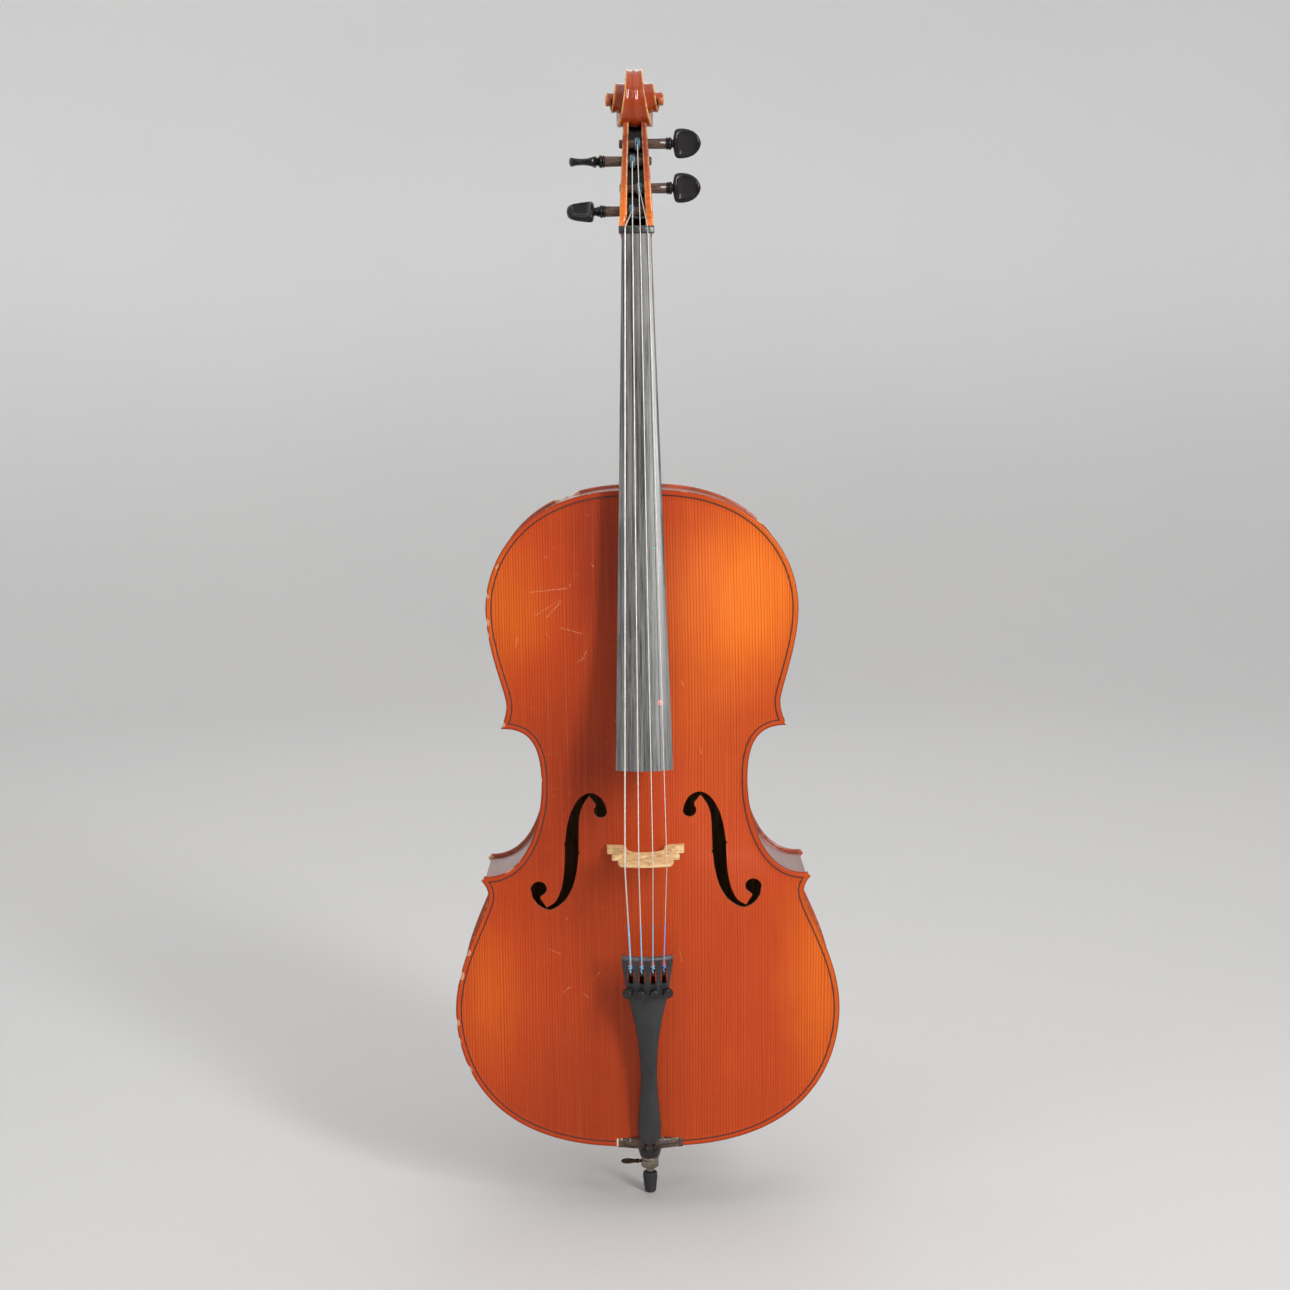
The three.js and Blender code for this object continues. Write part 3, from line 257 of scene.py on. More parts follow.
def maple(name, along=None, pale=rgb(196, 92, 26), deep=rgb(112, 40, 14), flame_size=9.0, stripes=0.8,
          coat=0.6, slope=0.0):
    """Flamed maple. along names the attribute that runs across the flames; without it the z axis does."""
    s = Shader(name, coat=coat, coat_roughness=0.12, specular=0.45)
    run = s.attribute(along) if along else s.axes["Z"]
    if slope:
        run = run + s.math("ABSOLUTE", s.axes["X"]) * slope
    wander = s.noise(22)
    run = run + wander * 0.02
    flame = s.noise((1 / (flame_size * MM), 0, 0), 2, 0.55, source=s.line(run))
    flame = s.ramp(flame, 0.36, 0.64)
    pores = s.noise((420, 420, 36), 3, 0.7)
    cloud = s.noise((11, 11, 7), 4)
    body = s.mix(s.ramp(cloud, 0.25, 0.78), deep, pale)
    patchy = s.ramp(s.noise((26, 26, 9)), 0.3, 0.6, 0.35, 1)
    colour = s.mix(flame * patchy * stripes, body, s.mix(0.62, body, rgb(70, 22, 8)))
    colour = s.tint(colour, pores, 0.52, 0.75, 0.4, rgb(70, 26, 12))
    wear = s.noise(70, 5, 0.75)
    where = s.ramp(s.noise(8), 0.45, 0.6)
    bare = s.attribute("worn") * where * s.ramp(wear, 0.56, 0.64)
    bare = s.math("MAXIMUM", bare, s.ramp(s.attribute("chip"), 0.25, 0.6))
    colour = s.mix(bare * 0.75, colour, rgb(220, 172, 122))
    rough = s.ramp(cloud, 0.3, 0.7, 0.22, 0.34)
    relief = s.bump(s.noise(40, 3), 0.2, 0.3, s.bump(flame, 0.05, 0.4))
    return s.finish(colour, rough, relief)


def head_maple():
    """The varnish of the head: glossy red-brown, paler on the rubbed lower cheeks and the edges, and
    near-black inside the pegbox as painted shade.
    """
    s = Shader("head_maple", coat=0.7, coat_roughness=0.05, specular=0.12)
    cloud = s.noise((30, 30, 18), 4)
    pores = s.noise((700, 700, 60), 3, 0.75)
    flame = s.noise((30, 30, 160), 1)
    height = s.ramp(s.axes["Z"], (1040 + LIFT) * MM, (1128 + LIFT) * MM)
    body = s.mix(height, rgb(224, 110, 24), rgb(126, 38, 12))
    top = s.ramp(s.axes["Z"], (1146 + LIFT) * MM, (1166 + LIFT) * MM)
    body = s.mix(top, body, rgb(150, 52, 6))
    body = s.tint(body, cloud, 0.4, 0.75, 0.3, rgb(196, 84, 14))
    body = s.tint(body, flame, 0.5, 0.66, 0.35, rgb(116, 36, 8))
    body = s.tint(body, pores, 0.55, 0.75, 0.45, rgb(84, 28, 10))
    rub = s.noise(110, 4, 0.7)
    pale = s.attribute("worn") * s.ramp(rub, 0.36, 0.56)
    body = s.mix(pale * 0.72, body, rgb(240, 184, 104))
    # painted shade: the walls and floor inside the pegbox turn near-black
    inside = s.attribute("inside")
    body = s.mix(inside, body, rgb(16, 12, 10))
    rough = s.ramp(cloud, 0.3, 0.7, 0.2, 0.32)
    return s.finish(body, rough, s.bump(s.noise(50, 3), 0.25, 0.35))


def plain_wood(name, light, dark, rough, grain=(300, 300, 18), coat=0.0, flecks=None):
    s = Shader(name, roughness=rough, coat=coat, coat_roughness=0.12)
    streak = s.noise(grain, 4, 0.7)
    cloud = s.noise(25, 3)
    colour = s.mix(s.ramp(streak, 0.35, 0.68), light, dark)
    colour = s.tint(colour, cloud, 0.4, 0.75, 0.35, dark)
    if flecks:
        spots = s.noise(flecks[0], 2, 0.6)
        colour = s.tint(colour, spots, 0.56, 0.66, 0.75, flecks[1])
    return s.finish(colour, s.ramp(streak, 0.3, 0.7, rough - 0.06, rough + 0.08), s.bump(streak, 0.08, 0.4))


def fingerboard_ebony():
    """Ebony worn grey along the grain, polished in stripes where the strings and fingers press."""
    s = Shader("worn_ebony", specular=0.6)
    streak = s.noise((520, 60, 5), 4, 0.75)
    wide = s.noise((120, 20, 3), 3, 0.6)
    patch = s.noise((30, 30, 14), 4, 0.65)
    colour = s.mix(s.ramp(streak, 0.36, 0.66), rgb(50, 50, 51), rgb(116, 116, 115))
    colour = s.tint(colour, wide, 0.42, 0.66, 0.6, rgb(128, 127, 125))
    colour = s.tint(colour, patch, 0.55, 0.75, 0.35, rgb(156, 154, 151))
    rough = s.ramp(streak, 0.3, 0.7, 0.24, 0.4)
    return s.finish(colour, rough, s.bump(streak, 0.05, 0.5))


def grained(name, grain, base, cloud, wash, rough, relief, **surface):
    """Grain carries the base colours and the relief, cloud carries a wash of colour and the roughness."""
    s = Shader(name, **surface)
    fine, wide = s.noise(*grain), s.noise(*cloud)
    low, high, light, dark = base
    colour = s.tint(s.mix(s.ramp(fine, low, high), light, dark), wide, *wash)
    return s.finish(colour, s.ramp(wide, *rough), s.bump(fine, *relief))


def black_ebony():
    return grained("black_ebony", ((420, 420, 30), 3, 0.7), (0.4, 0.7, rgb(24, 23, 23), rgb(50, 48, 47)),
                   (70, 4, 0.7), (0.56, 0.7, 0.5, rgb(92, 88, 84)), (0.3, 0.7, 0.28, 0.42), (0.08, 0.4),
                   specular=0.55, coat=0.2, coat_roughness=0.25)


def saddle_wood():
    s = Shader("saddle_wood", specular=0.5)
    streak = s.noise((50, 300, 420), 4, 0.7)
    cut = s.noise((110, 60, 190), 3, 0.8, 1.2)
    colour = s.mix(s.ramp(streak, 0.36, 0.68), rgb(38, 26, 22), rgb(92, 64, 50))
    colour = s.tint(colour, cut, 0.6, 0.66, 0.8, rgb(196, 176, 152))
    bare = s.ramp(s.axes["X"], -36.8 * MM, -35.2 * MM, 1, 0) * 0.85
    colour = s.mix(bare, colour, rgb(222, 190, 160))
    return s.finish(colour, s.ramp(streak, 0.3, 0.7, 0.4, 0.6), s.bump(cut, 0.3, 0.5))


def peg_rosewood():
    """Dark rosewood pegs: brown semi-gloss shaft, near-black head."""
    s = Shader("peg_rosewood", specular=0.15, coat=0.32, coat_roughness=0.06)
    streak = s.noise((60, 420, 420), 4, 0.7)
    head = s.attribute("head")
    shaft = s.mix(s.ramp(streak, 0.36, 0.66), rgb(60, 44, 38), rgb(98, 76, 64))
    knob = s.mix(s.ramp(streak, 0.4, 0.72), rgb(14, 13, 13), rgb(32, 28, 27))
    matte = s.attribute("face")
    speck = s.noise(900)
    knob = s.mix(matte * 0.55, knob, s.mix(s.ramp(speck, 0.4, 0.7), rgb(20, 18, 18), rgb(50, 43, 40)))
    colour = s.mix(head, shaft, knob)
    rough = s.ramp(matte, 0, 1, 0.2, 0.55) + s.ramp(streak, 0.3, 0.7, -0.03, 0.05)
    return s.finish(colour, rough, s.bump(streak, 0.06, 0.4))


def composite():
    """The tailpiece: matte black, faintly mottled, paler where rubbed."""
    s = Shader("black_composite", specular=0.42)
    fine = s.noise(900)
    cloud = s.noise((26, 26, 12), 4, 0.65)
    rub = s.noise((160, 160, 30), 4, 0.75)
    colour = s.mix(s.ramp(cloud, 0.35, 0.7), rgb(34, 34, 35), rgb(52, 52, 53))
    colour = s.tint(colour, rub, 0.62, 0.74, 0.4, rgb(88, 88, 88))
    colour = s.mix(s.attribute("worn") * s.ramp(rub, 0.35, 0.6, 0.35, 0.85), colour, rgb(104, 103, 101))
    return s.finish(colour, s.ramp(cloud, 0.3, 0.7, 0.42, 0.56), s.bump(fine, 0.05, 0.6))


def metal(name, light, dark, rough, grain=(120, 120, 900), metallic=1.0, tarnish=None):
    return grained(name, (grain, 3, 0.7), (0.35, 0.68, light, dark), (130, 4, 0.65),
                   (0.5, 0.7, 0.6, tarnish or dark), (0.35, 0.7, rough - 0.05, rough + 0.12), (0.03, 0.5),
                   roughness=rough, metallic=metallic)


def thread(name, colour_a, colour_b, pitch, rough=0.7):
    """Thread or cord with a twist: fine ridges that wind round a run along z."""
    step = pitch * MM
    return grained(name, ((0.3 / step, 0.3 / step, 1 / step),), (0.36, 0.62, colour_a, colour_b), (1500,),
                   (0.4, 0.8, 0.4, colour_a), (0.3, 0.7, rough - 0.08, rough + 0.1), (0.12, 0.8),
                   roughness=rough, specular=0.3)


def rubber():
    return grained("black_rubber", (700, 3, 0.7), (0.35, 0.7, rgb(36, 36, 37), rgb(56, 56, 57)),
                   ((90, 90, 60), 5, 0.7), (0.55, 0.75, 0.5, rgb(96, 95, 93)), (0.3, 0.7, 0.55, 0.75),
                   (0.1, 0.5), specular=0.35)


def paint(name, colour, shade, rough=0.5):
    s = Shader(name, roughness=rough)
    cloud = s.noise(400, 3)
    return s.finish(s.mix(s.ramp(cloud, 0.35, 0.7), colour, shade),
                    s.ramp(cloud, 0.3, 0.7, rough - 0.08, rough + 0.1))


SPRUCE = spruce()
BACK_MAPLE = maple("back_maple", pale=rgb(188, 80, 24), deep=rgb(150, 54, 18), flame_size=9, slope=-0.28,
                   coat=0.35)
RIB_MAPLE = maple("rib_maple", along="run", pale=rgb(150, 66, 32), deep=rgb(106, 42, 22), flame_size=7,
                  coat=0.7)
HEAD_MAPLE = head_maple()
NECK_MAPLE = plain_wood("neck_maple", rgb(206, 140, 76), rgb(158, 92, 44), 0.42, grain=(220, 220, 14),
                        coat=0.15)
BARE_SPRUCE = plain_wood("bare_spruce", rgb(176, 136, 92), rgb(136, 98, 62), 0.8, grain=(320, 320, 12))
F_EDGE = plain_wood("f_edge", rgb(178, 118, 92), rgb(120, 62, 44), 0.55, grain=(200, 200, 200))
PURFLING_DARK = paint("purfling_dark", rgb(52, 18, 12), rgb(30, 12, 10), 0.45)
PURFLING_PALE = paint("purfling_pale", rgb(92, 40, 20), rgb(70, 28, 14), 0.45)
WORN_EBONY = fingerboard_ebony()
BLACK_EBONY = black_ebony()
SADDLE_WOOD = saddle_wood()
PEG_WOOD = peg_rosewood()
BRIDGE_MAPLE = plain_wood("bridge_maple", rgb(228, 196, 146), rgb(206, 164, 112), 0.55, grain=(60, 160, 500),
                          flecks=((90, 90, 420), rgb(168, 122, 76)))
COMPOSITE = composite()
STRING_METAL = metal("wound_steel", rgb(232, 228, 220), rgb(196, 190, 180), 0.36, grain=(200, 200, 2400),
                     metallic=0.55)
SILK_BLUE = thread("blue_silk", rgb(158, 204, 232), rgb(112, 164, 206), 0.5)
SILK_VIOLET = thread("violet_silk", rgb(160, 178, 230), rgb(116, 130, 206), 0.5)
# darker, greyer blue silk, used for the turns on the pegs inside the pegbox
SILK_DARK = thread("dark_silk", rgb(122, 158, 176), rgb(58, 78, 90), 0.6)
TUNER_BLACK = metal("tuner_black", rgb(52, 51, 51), rgb(34, 33, 33), 0.34, metallic=0.6,
                    tarnish=rgb(82, 76, 72))
SCREW_STEEL = metal("screw_steel", rgb(150, 146, 140), rgb(96, 92, 88), 0.35, grain=(100, 1800, 1800))
COLLAR_STEEL = metal("collar_steel", rgb(176, 166, 152), rgb(120, 110, 98), 0.34, grain=(40, 40, 1600),
                     tarnish=rgb(84, 72, 62))
ROD_STEEL = metal("rod_steel", rgb(170, 160, 146), rgb(104, 94, 84), 0.32, grain=(30, 30, 900),
                  tarnish=rgb(92, 78, 66))
THUMB_METAL = metal("thumb_metal", rgb(92, 70, 58), rgb(52, 38, 32), 0.4, tarnish=rgb(40, 30, 26))
TAIL_CORD = thread("tail_cord", rgb(34, 34, 35), rgb(14, 14, 15), 1.1)
RUBBER = rubber()
PLUG_WOOD = plain_wood("plug_wood", rgb(40, 30, 27), rgb(20, 16, 15), 0.36, grain=(400, 400, 40), coat=0.2)
PINK_SPOT = paint("pink_spot", rgb(240, 168, 160), rgb(214, 132, 128))
GREEN_SPOT = paint("green_spot", rgb(110, 206, 150), rgb(84, 176, 120))


# ---- Mesh helpers ----
def new_mesh(name, points, faces):
    """A mesh from points in mm of the body's frame."""
    mesh = bpy.data.meshes.new(name)
    placed = np.asarray(points, float) * MM + [0, 0, LIFT * MM]
    mesh.from_pydata(placed.tolist(), [], [list(map(int, f)) for f in faces])
    return mesh


def faced_outwards(mesh, merge=0.0):
    """Turns the mesh's faces outwards, once points closer than merge (mm) are joined."""
    work = bmesh.new()
    work.from_mesh(mesh)
    if merge:
        bmesh.ops.remove_doubles(work, verts=work.verts, dist=merge * MM)
    bmesh.ops.recalc_face_normals(work, faces=work.faces)
    work.to_mesh(mesh)
    work.free()


def make(name, points, faces, material, slot, body="instrument", replaces=(), angle=35, marks=None,
         extra=(), indices=None, merge=0.0, bevel=0.0):
    """One piece of the object. marks are named values at the points; angle is where shading breaks."""
    mesh = new_mesh(name, points, faces)
    for item in (material, *extra):
        mesh.materials.append(item)
    if indices is not None:
        mesh.polygons.foreach_set("material_index", np.asarray(indices, np.int32))
    for key, values in (marks or {}).items():
        stored = mesh.attributes.new(key, "FLOAT", "POINT").data
        stored.foreach_set("value", np.asarray(values, np.float32))
    faced_outwards(mesh, merge)
    mesh.polygons.foreach_set("use_smooth", [True] * len(mesh.polygons))
    mesh.set_sharp_from_angle(angle=math.radians(angle))
    obj = linked(name, mesh)
    if bevel:
        made = obj.modifiers.new("edges", "BEVEL")
        made.width, made.segments, made.angle_limit = bevel * MM, 2, math.radians(40)
        made.harden_normals = False
    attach(obj, body)
    if replaces:
        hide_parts(*replaces)
    return obj


def dressed(node, part, material, slot, **options):
    """The piece that takes one CAD node's place."""
    return make(f"{node}_dressed", *part, material, slot, replaces=[node], **options)


def around(sides):
    return np.arange(sides) * 2 * math.pi / sides


def at_depth(points, y):
    """Points (x, z) as (x, y, z), where y is one number or one for each."""
    return np.stack([points[:, 0], np.broadcast_to(y, len(points)), points[:, 1]], 1)


def nearest(points, loop):
    """Distance from each point to the nearest point of a loop."""
    return np.sqrt(((points[:, None] - loop[None]) ** 2).sum(2)).min(1)


def band(start, n):
    """Faces between the loop of n points from start and the loop that follows it."""
    return [(start + i, start + (i + 1) % n, start + n + (i + 1) % n, start + n + i) for i in range(n)]


def filled(loops, grid):
    """Points and triangles inside the first loop and outside the others, with grid's points in between."""
    limits, start = [], 0
    for loop in loops:
        limits.append(list(range(start, start + len(loop))))
        start += len(loop)
    spots = [Vector(p) for p in np.vstack([*loops, grid])]
    points, _, triangles, _, _, owners = delaunay_2d_cdt(spots, [], limits, 0, 1e-4)
    holes = set(range(1, len(loops)))
    kept = [t for t, own in zip(triangles, owners) if 0 in own and not holes & set(own)]
    return np.array([tuple(v) for v in points]), kept


def loft(rings, caps=True, closed=True):
    """Points and faces of a skin through rings of equal count."""
    rings = [np.asarray(r, float) for r in rings]
    n = len(rings[0])
    faces = []
    last = n if closed else n - 1
    for r in range(len(rings) - 1):
        for i in range(last):
            a, b = r * n + i, r * n + (i + 1) % n
            faces.append((a, b, b + n, a + n))
    if caps:
        faces.append(tuple(range(n))[::-1])
        faces.append(tuple(range((len(rings) - 1) * n, len(rings) * n)))
    return np.vstack(rings), faces


def combined(*parts):
    """Several (points, faces) as one."""
    points, faces, start = [], [], 0
    for p, f in parts:
        points.append(p)
        faces += [tuple(i + start for i in face) for face in f]
        start += len(p)
    return np.vstack(points), faces


def lathe(profile, sides=40, axis="z", place=(0, 0, 0)):
    """A profile of (radius, height) turned about the z or x axis through place."""
    rings = []
    turn = around(sides)
    for radius, height in profile:
        u, v, w = radius * np.cos(turn), radius * np.sin(turn), np.full(sides, float(height))
        rings.append(np.stack((u, v, w) if axis == "z" else (w, u, v), 1) + np.array(place))
    return loft(rings)


def pierced(profile, sides):
    """A lathe whose first and last rings are joined by a bore in place of end caps."""
    points, faces = lathe(profile, sides)
    last = len(points) - sides
    bore = [(last + i, last + (i + 1) % sides, (i + 1) % sides, i) for i in range(sides)]
    return points, faces[:-2] + bore


def spline(points, steps=8, closed=False):
    """A smooth curve through points (uniform Catmull-Rom)."""
    p = np.asarray(points, float)
    n = len(p)
    out = []
    for i in range(n if closed else n - 1):
        p0 = p[(i - 1) % n] if closed or i > 0 else 2 * p[0] - p[1]
        p1, p2 = p[i], p[(i + 1) % n]
        p3 = p[(i + 2) % n] if closed or i + 2 < n else 2 * p[-1] - p[-2]
        for t in np.arange(steps) / steps:
            out.append(0.5 * (2 * p1 + (p2 - p0) * t + (2 * p0 - 5 * p1 + 4 * p2 - p3) * t * t
                              + (3 * p1 - p0 - 3 * p2 + p3) * t ** 3))
    if not closed:
        out.append(p[-1])
    return np.array(out)


def bezier(points, steps):
    p = np.asarray(points, float)
    t = np.linspace(0, 1, steps + 1)[:, None]
    if len(p) == 3:
        return (1 - t) ** 2 * p[0] + 2 * (1 - t) * t * p[1] + t ** 2 * p[2]
    return (1 - t) ** 3 * p[0] + 3 * (1 - t) ** 2 * t * p[1] + 3 * (1 - t) * t ** 2 * p[2] + t ** 3 * p[3]


def chained(*curves):
    return np.vstack([curves[0]] + [c[1:] for c in curves[1:]])


def run_of(points):
    """Distance along a polyline (x, z) at each of its points."""
    return np.concatenate([[0], np.cumsum(np.hypot(*np.diff(points, axis=0).T))])


def length_of(points):
    return np.hypot(*np.diff(points, axis=0).T).sum()


def sampled(points, marks):
    """Points of a polyline (x, z) at the given distances along it."""
    return np.stack([np.interp(marks, run_of(points), points[:, k]) for k in (0, 1)], 1)


def resampled(points, count):
    return sampled(points, np.linspace(0, run_of(points)[-1], count))


def tube(points, radius, sides=12):
    """A round bar along points; radius is one number or one for each point."""
    p = np.asarray(points, float)
    radii = np.broadcast_to(radius, len(p))
    tangent = np.gradient(p, axis=0)
    tangent /= np.linalg.norm(tangent, axis=1)[:, None]
    side = np.cross(tangent[0], [0, 1, 0.1])
    turn = around(sides)[:, None]
    rings = []
    for i in range(len(p)):
        side = side - tangent[i] * (side @ tangent[i])
        side /= np.linalg.norm(side)
        other = np.cross(tangent[i], side)
        rings.append(p[i] + radii[i] * (np.cos(turn) * side + np.sin(turn) * other))
    return loft(rings)


# ---- Outline of the body ----
BODY_LENGTH = 755.0
RIB_FACE = 56.0
PLATE = 4.5
BELLY_ARCH, BACK_ARCH = 22.5, 19.5
OVERHANG = 3.5
LOWER = chained(np.array([[0, 0], [11, 0], [22, 0]], float),
                bezier([(22, 0), (195, 0), (219, 112), (219, 162)], 70),
                bezier([(219, 162), (219, 224), (177, 280), (179, 300)], 50),
                bezier([(179, 300), (180.3, 309), (187, 315)], 12))
WAIST = chained(bezier([(183.5, 320), (134, 316), (116, 382), (116, 427)], 60),
                bezier([(116, 427), (116, 479), (135, 489), (160.5, 489)], 40))
UPPER = chained(bezier([(158.5, 495), (154, 504), (153.7, 515)], 10),
                bezier([(153.7, 515), (152.5, 527), (174.6, 577), (174.6, 622)], 40),
                bezier([(174.6, 622), (174.6, 682), (130, 755), (15, 755)], 70),
                np.array([[15, 755], [7, 755], [0, 755]], float))
STRETCH_COUNTS = (110, 76, 100)
FLAT_COUNT = 4


def pushed(points, distance):
    """A polyline moved towards the inside of the body, on its left."""
    d = np.gradient(points, axis=0)
    d /= np.hypot(d[:, 0], d[:, 1])[:, None]
    return points + distance * np.stack([-d[:, 1], d[:, 0]], 1)


def crossing(one, two):
    """Where polyline one last meets polyline two, as (point, index in one, index in two), or None."""
    for i in range(len(one) - 2, -1, -1):
        p, r = one[i], one[i + 1] - one[i]
        q, s = two[:-1], np.diff(two, axis=0)
        cross = r[0] * s[:, 1] - r[1] * s[:, 0]
        cross[np.abs(cross) < 1e-12] = 1e-12
        t = ((q[:, 0] - p[0]) * s[:, 1] - (q[:, 1] - p[1]) * s[:, 0]) / cross
        u = ((q[:, 0] - p[0]) * r[1] - (q[:, 1] - p[1]) * r[0]) / cross
        hit = np.nonzero((t >= 0) & (t <= 1) & (u >= 0) & (u <= 1))[0]
        if len(hit):
            return p + r * t[hit[0]], i, int(hit[0])
    return None


def cut_corner(first, second, a, b, distance):
    """Two offset stretches cut back at the flat end of a corner, which runs from a to b."""
    along = (b - a) / np.linalg.norm(b - a)
    inward = np.array([-along[1], along[0]])
    line = np.array([a - 40 * along, b + 40 * along]) + inward * distance
    met = crossing(first, second)
    if met is not None and (met[0] - a) @ inward >= distance:
        point, i, j = met
        return np.vstack([first[:i + 1], point]), np.vstack([point, second[j + 1:]])
    one = crossing(first, line)
    two = crossing(second[::-1], line)
    if one is not None:
        first = np.vstack([first[:one[1] + 1], one[0]])
    if two is not None:
        second = np.vstack([second[::-1][:two[1] + 1], two[0]])[::-1]
    return first, second


def stretches(distance):
    """The lower bout, waist and upper bout of the treble half at a distance inside the edge."""
    lower, waist, upper = (pushed(p, distance) if distance else p for p in (LOWER, WAIST, UPPER))
    if distance:
        lower, waist = cut_corner(lower, waist, LOWER[-1], WAIST[0], distance)
        waist, upper = cut_corner(waist, upper, WAIST[-1], UPPER[0], distance)
    return lower, waist, upper


def half_ring(distance):
    lower, waist, upper = (resampled(p, n) for p, n in zip(stretches(distance), STRETCH_COUNTS))
    low_flat = np.linspace(lower[-1], waist[0], FLAT_COUNT + 2)[1:-1]
    high_flat = np.linspace(waist[-1], upper[0], FLAT_COUNT + 2)[1:-1]
    return np.vstack([lower, low_flat, waist, high_flat, upper])


def ring(distance):
    """The whole outline at a distance inside the edge, anticlockwise from the bottom, as (x, z)."""
    half = half_ring(distance)
    return np.vstack([half, (half * [-1, 1])[::-1][1:-1]])


EDGE_ROWS = np.vstack([LOWER, WAIST, UPPER])
EDGE_ROWS = EDGE_ROWS[np.argsort(EDGE_ROWS[:, 1], kind="stable")]


def half_width(z):
    return np.interp(np.clip(z, 0, BODY_LENGTH), EDGE_ROWS[:, 1], EDGE_ROWS[:, 0])


def rise(x, z):
    """Height of the arch at a point, from 0 at the edge to 1 at the crown."""
    z = np.clip(z, 0, BODY_LENGTH)
    reach = sum(half_width(z + step) for step in range(-24, 25, 8)) / 7 - 8
    across = 0.5 + 0.5 * np.cos(math.pi * np.clip(np.abs(x) / reach, 0, 1))
    run = np.clip((np.minimum(z, BODY_LENGTH - z) - 8) / 190, 0, 1)
    return across ** 0.85 * (0.5 - 0.5 * np.cos(math.pi * run)) ** 0.6


def belly_y(x, z):
    return -RIB_FACE - PLATE - BELLY_ARCH * rise(np.float64(x), np.float64(z))


EDGE_LOOP = ring(0)


def edge_distance(points):
    """Distance in mm from each (x, z) point to the outline."""
    a, b = EDGE_LOOP, np.roll(EDGE_LOOP, -1, axis=0)
    d = b - a
    size = np.maximum((d ** 2).sum(1), 1e-9)
    best = np.full(len(points), 1e9)
    for start in range(0, len(points), 2000):
        p = points[start:start + 2000, None, :]
        t = np.clip(((p - a) * d).sum(2) / size, 0, 1)
        best[start:start + 2000] = np.sqrt((((p - a) - t[..., None] * d) ** 2).sum(2)).min(1)
    return best


# ---- F-holes ----
def eye(x, z, radius, start, end):
    turn = np.radians(np.linspace(start, end, 22))
    return np.stack([x + radius * np.cos(turn), z + radius * np.sin(turn)], 1)


def f_outline():
    """The treble f-hole, anticlockwise from beside its upper eye: two eyes, a stem and two nicks."""
    inner_high = spline([(62.5, 412.8), (70.4, 400.6), (74.6, 386.8), (75.9, 366), (76.2, 349.6)], 9)
    inner_nick = np.array([[74.4, 347.6], [76.6, 345.4]])
    inner_low = spline([(76.7, 344.6), (78.4, 326.5), (82.6, 305), (91, 288.6), (101.8, 280), (109.2, 278.4),
                        (118.9, 283.1), (126.2, 293.4)], 8)
    low_eye = eye(119.3, 304.6, 9.2, -25, 245)
    low_tip = np.array([[117.3, 293.6]])
    outer_low = spline([(109.9, 281.6), (100, 289.6), (93.4, 304), (90.7, 323.4), (90.2, 343.9),
                        (90, 354.8)], 9)
    outer_nick = np.array([[91.6, 357], [89.8, 359]])
    outer_high = spline([(89.6, 360), (87.2, 378.6), (82.2, 396.5), (73.1, 410.6), (61.4, 416.8), (50, 412.6),
                         (44, 403.6)], 8)
    high_eye = eye(50, 396.2, 7.5, 155, 400)
    high_tip = np.array([[55.2, 404.3]])
    return np.vstack([inner_high, inner_nick, inner_low, low_eye, low_tip, outer_low, outer_nick, outer_high,
                      high_eye, high_tip])


def spaced(points, least):
    kept = [points[0]]
    for p in points[1:]:
        if np.hypot(*(p - kept[-1])) >= least:
            kept.append(p)
    return np.array(kept)


def opened(points):
    """The f-hole with its stem a little wider and its lower wing higher and farther out."""
    x, z = points[:, 0], points[:, 1]
    low = np.clip((345 - z) / 67, 0, 1)
    stem = np.exp(-((z - 338) / 52) ** 4)
    side = np.where(x < 83 + 9 * low, -1.0, 1.0)
    centre = np.exp(-((x - 84) / 14) ** 4)
    return np.stack([x + 2.7 * np.minimum(low * 1.4, 1) ** 1.5 + side * stem * centre,
                     z + 4.2 * low ** 2], 1)


F_TREBLE = spaced(opened(f_outline()), 0.5)
F_BASS = (F_TREBLE * [-1, 1])[::-1]


# ---- Plates ----
# Rings from under the edge, round it, to the channel: distance inside the edge, height above the ribs.
EDGE_PROFILE = [(12, 0.0), (1.6, 0.0), (0.5, 0.45), (0, 1.5), (0, 2.9), (0.45, 4.0), (1.5, 4.6), (2.6, 4.75),
                (3.8, 4.6), (5.4, 4.2)]
PURFLING = [(5.4, 4.2), (5.95, 4.14), (6.4, 4.08), (6.95, 4.05)]
CHANNEL = [(6.95, 4.05), (9.5, 3.95), (13, 4.2)]
BELLY_CHIPS = [(-172, 640, 2.5, 1.6), (-174, 610, 3.5, 2), (-173, 596, 3, 1.5), (-160, 672, 3, 1.2),
               (-204, 232, 4, 1.6), (-212, 205, 5, 1.4), (-218, 150, 4, 1.3), (-215, 128, 3, 1.2),
               (-158, 494, 3, 1.4), (-186, 318, 3, 1.2), (-126, 466, 3, 1.1), (-117, 430, 2.5, 0.9),
               (-98, 730, 4, 1.3), (-205, 95, 4, 1.2), (160, 492, 2.5, 1), (186, 318, 2.5, 1.0)]
BACK_CHIPS = [(-80, 742, 6.5, 4.6), (-90, 739, 6, 4.2), (-153, 512, 3, 2), (-186, 318, 3, 2),
              (140, 712, 4, 1.5)]


def chipped(points, distance, chips):
    """Ring points with dents pushed in from the edge, and how deep each point lies in one."""
    amount = np.zeros(len(points))
    for x, z, size, depth in chips:
        near = np.exp(-(((points - [x, z]) ** 2).sum(1)) / size ** 2)
        amount = np.maximum(amount, near * depth)
    fade = max(0.0, 1 - distance / 5.0)
    centre = np.array([0, 380.0])
    way = centre - points
    way /= np.maximum(np.hypot(way[:, 0], way[:, 1]), 1)[:, None]
    return points + way * (amount * fade)[:, None], amount * (distance < 4)


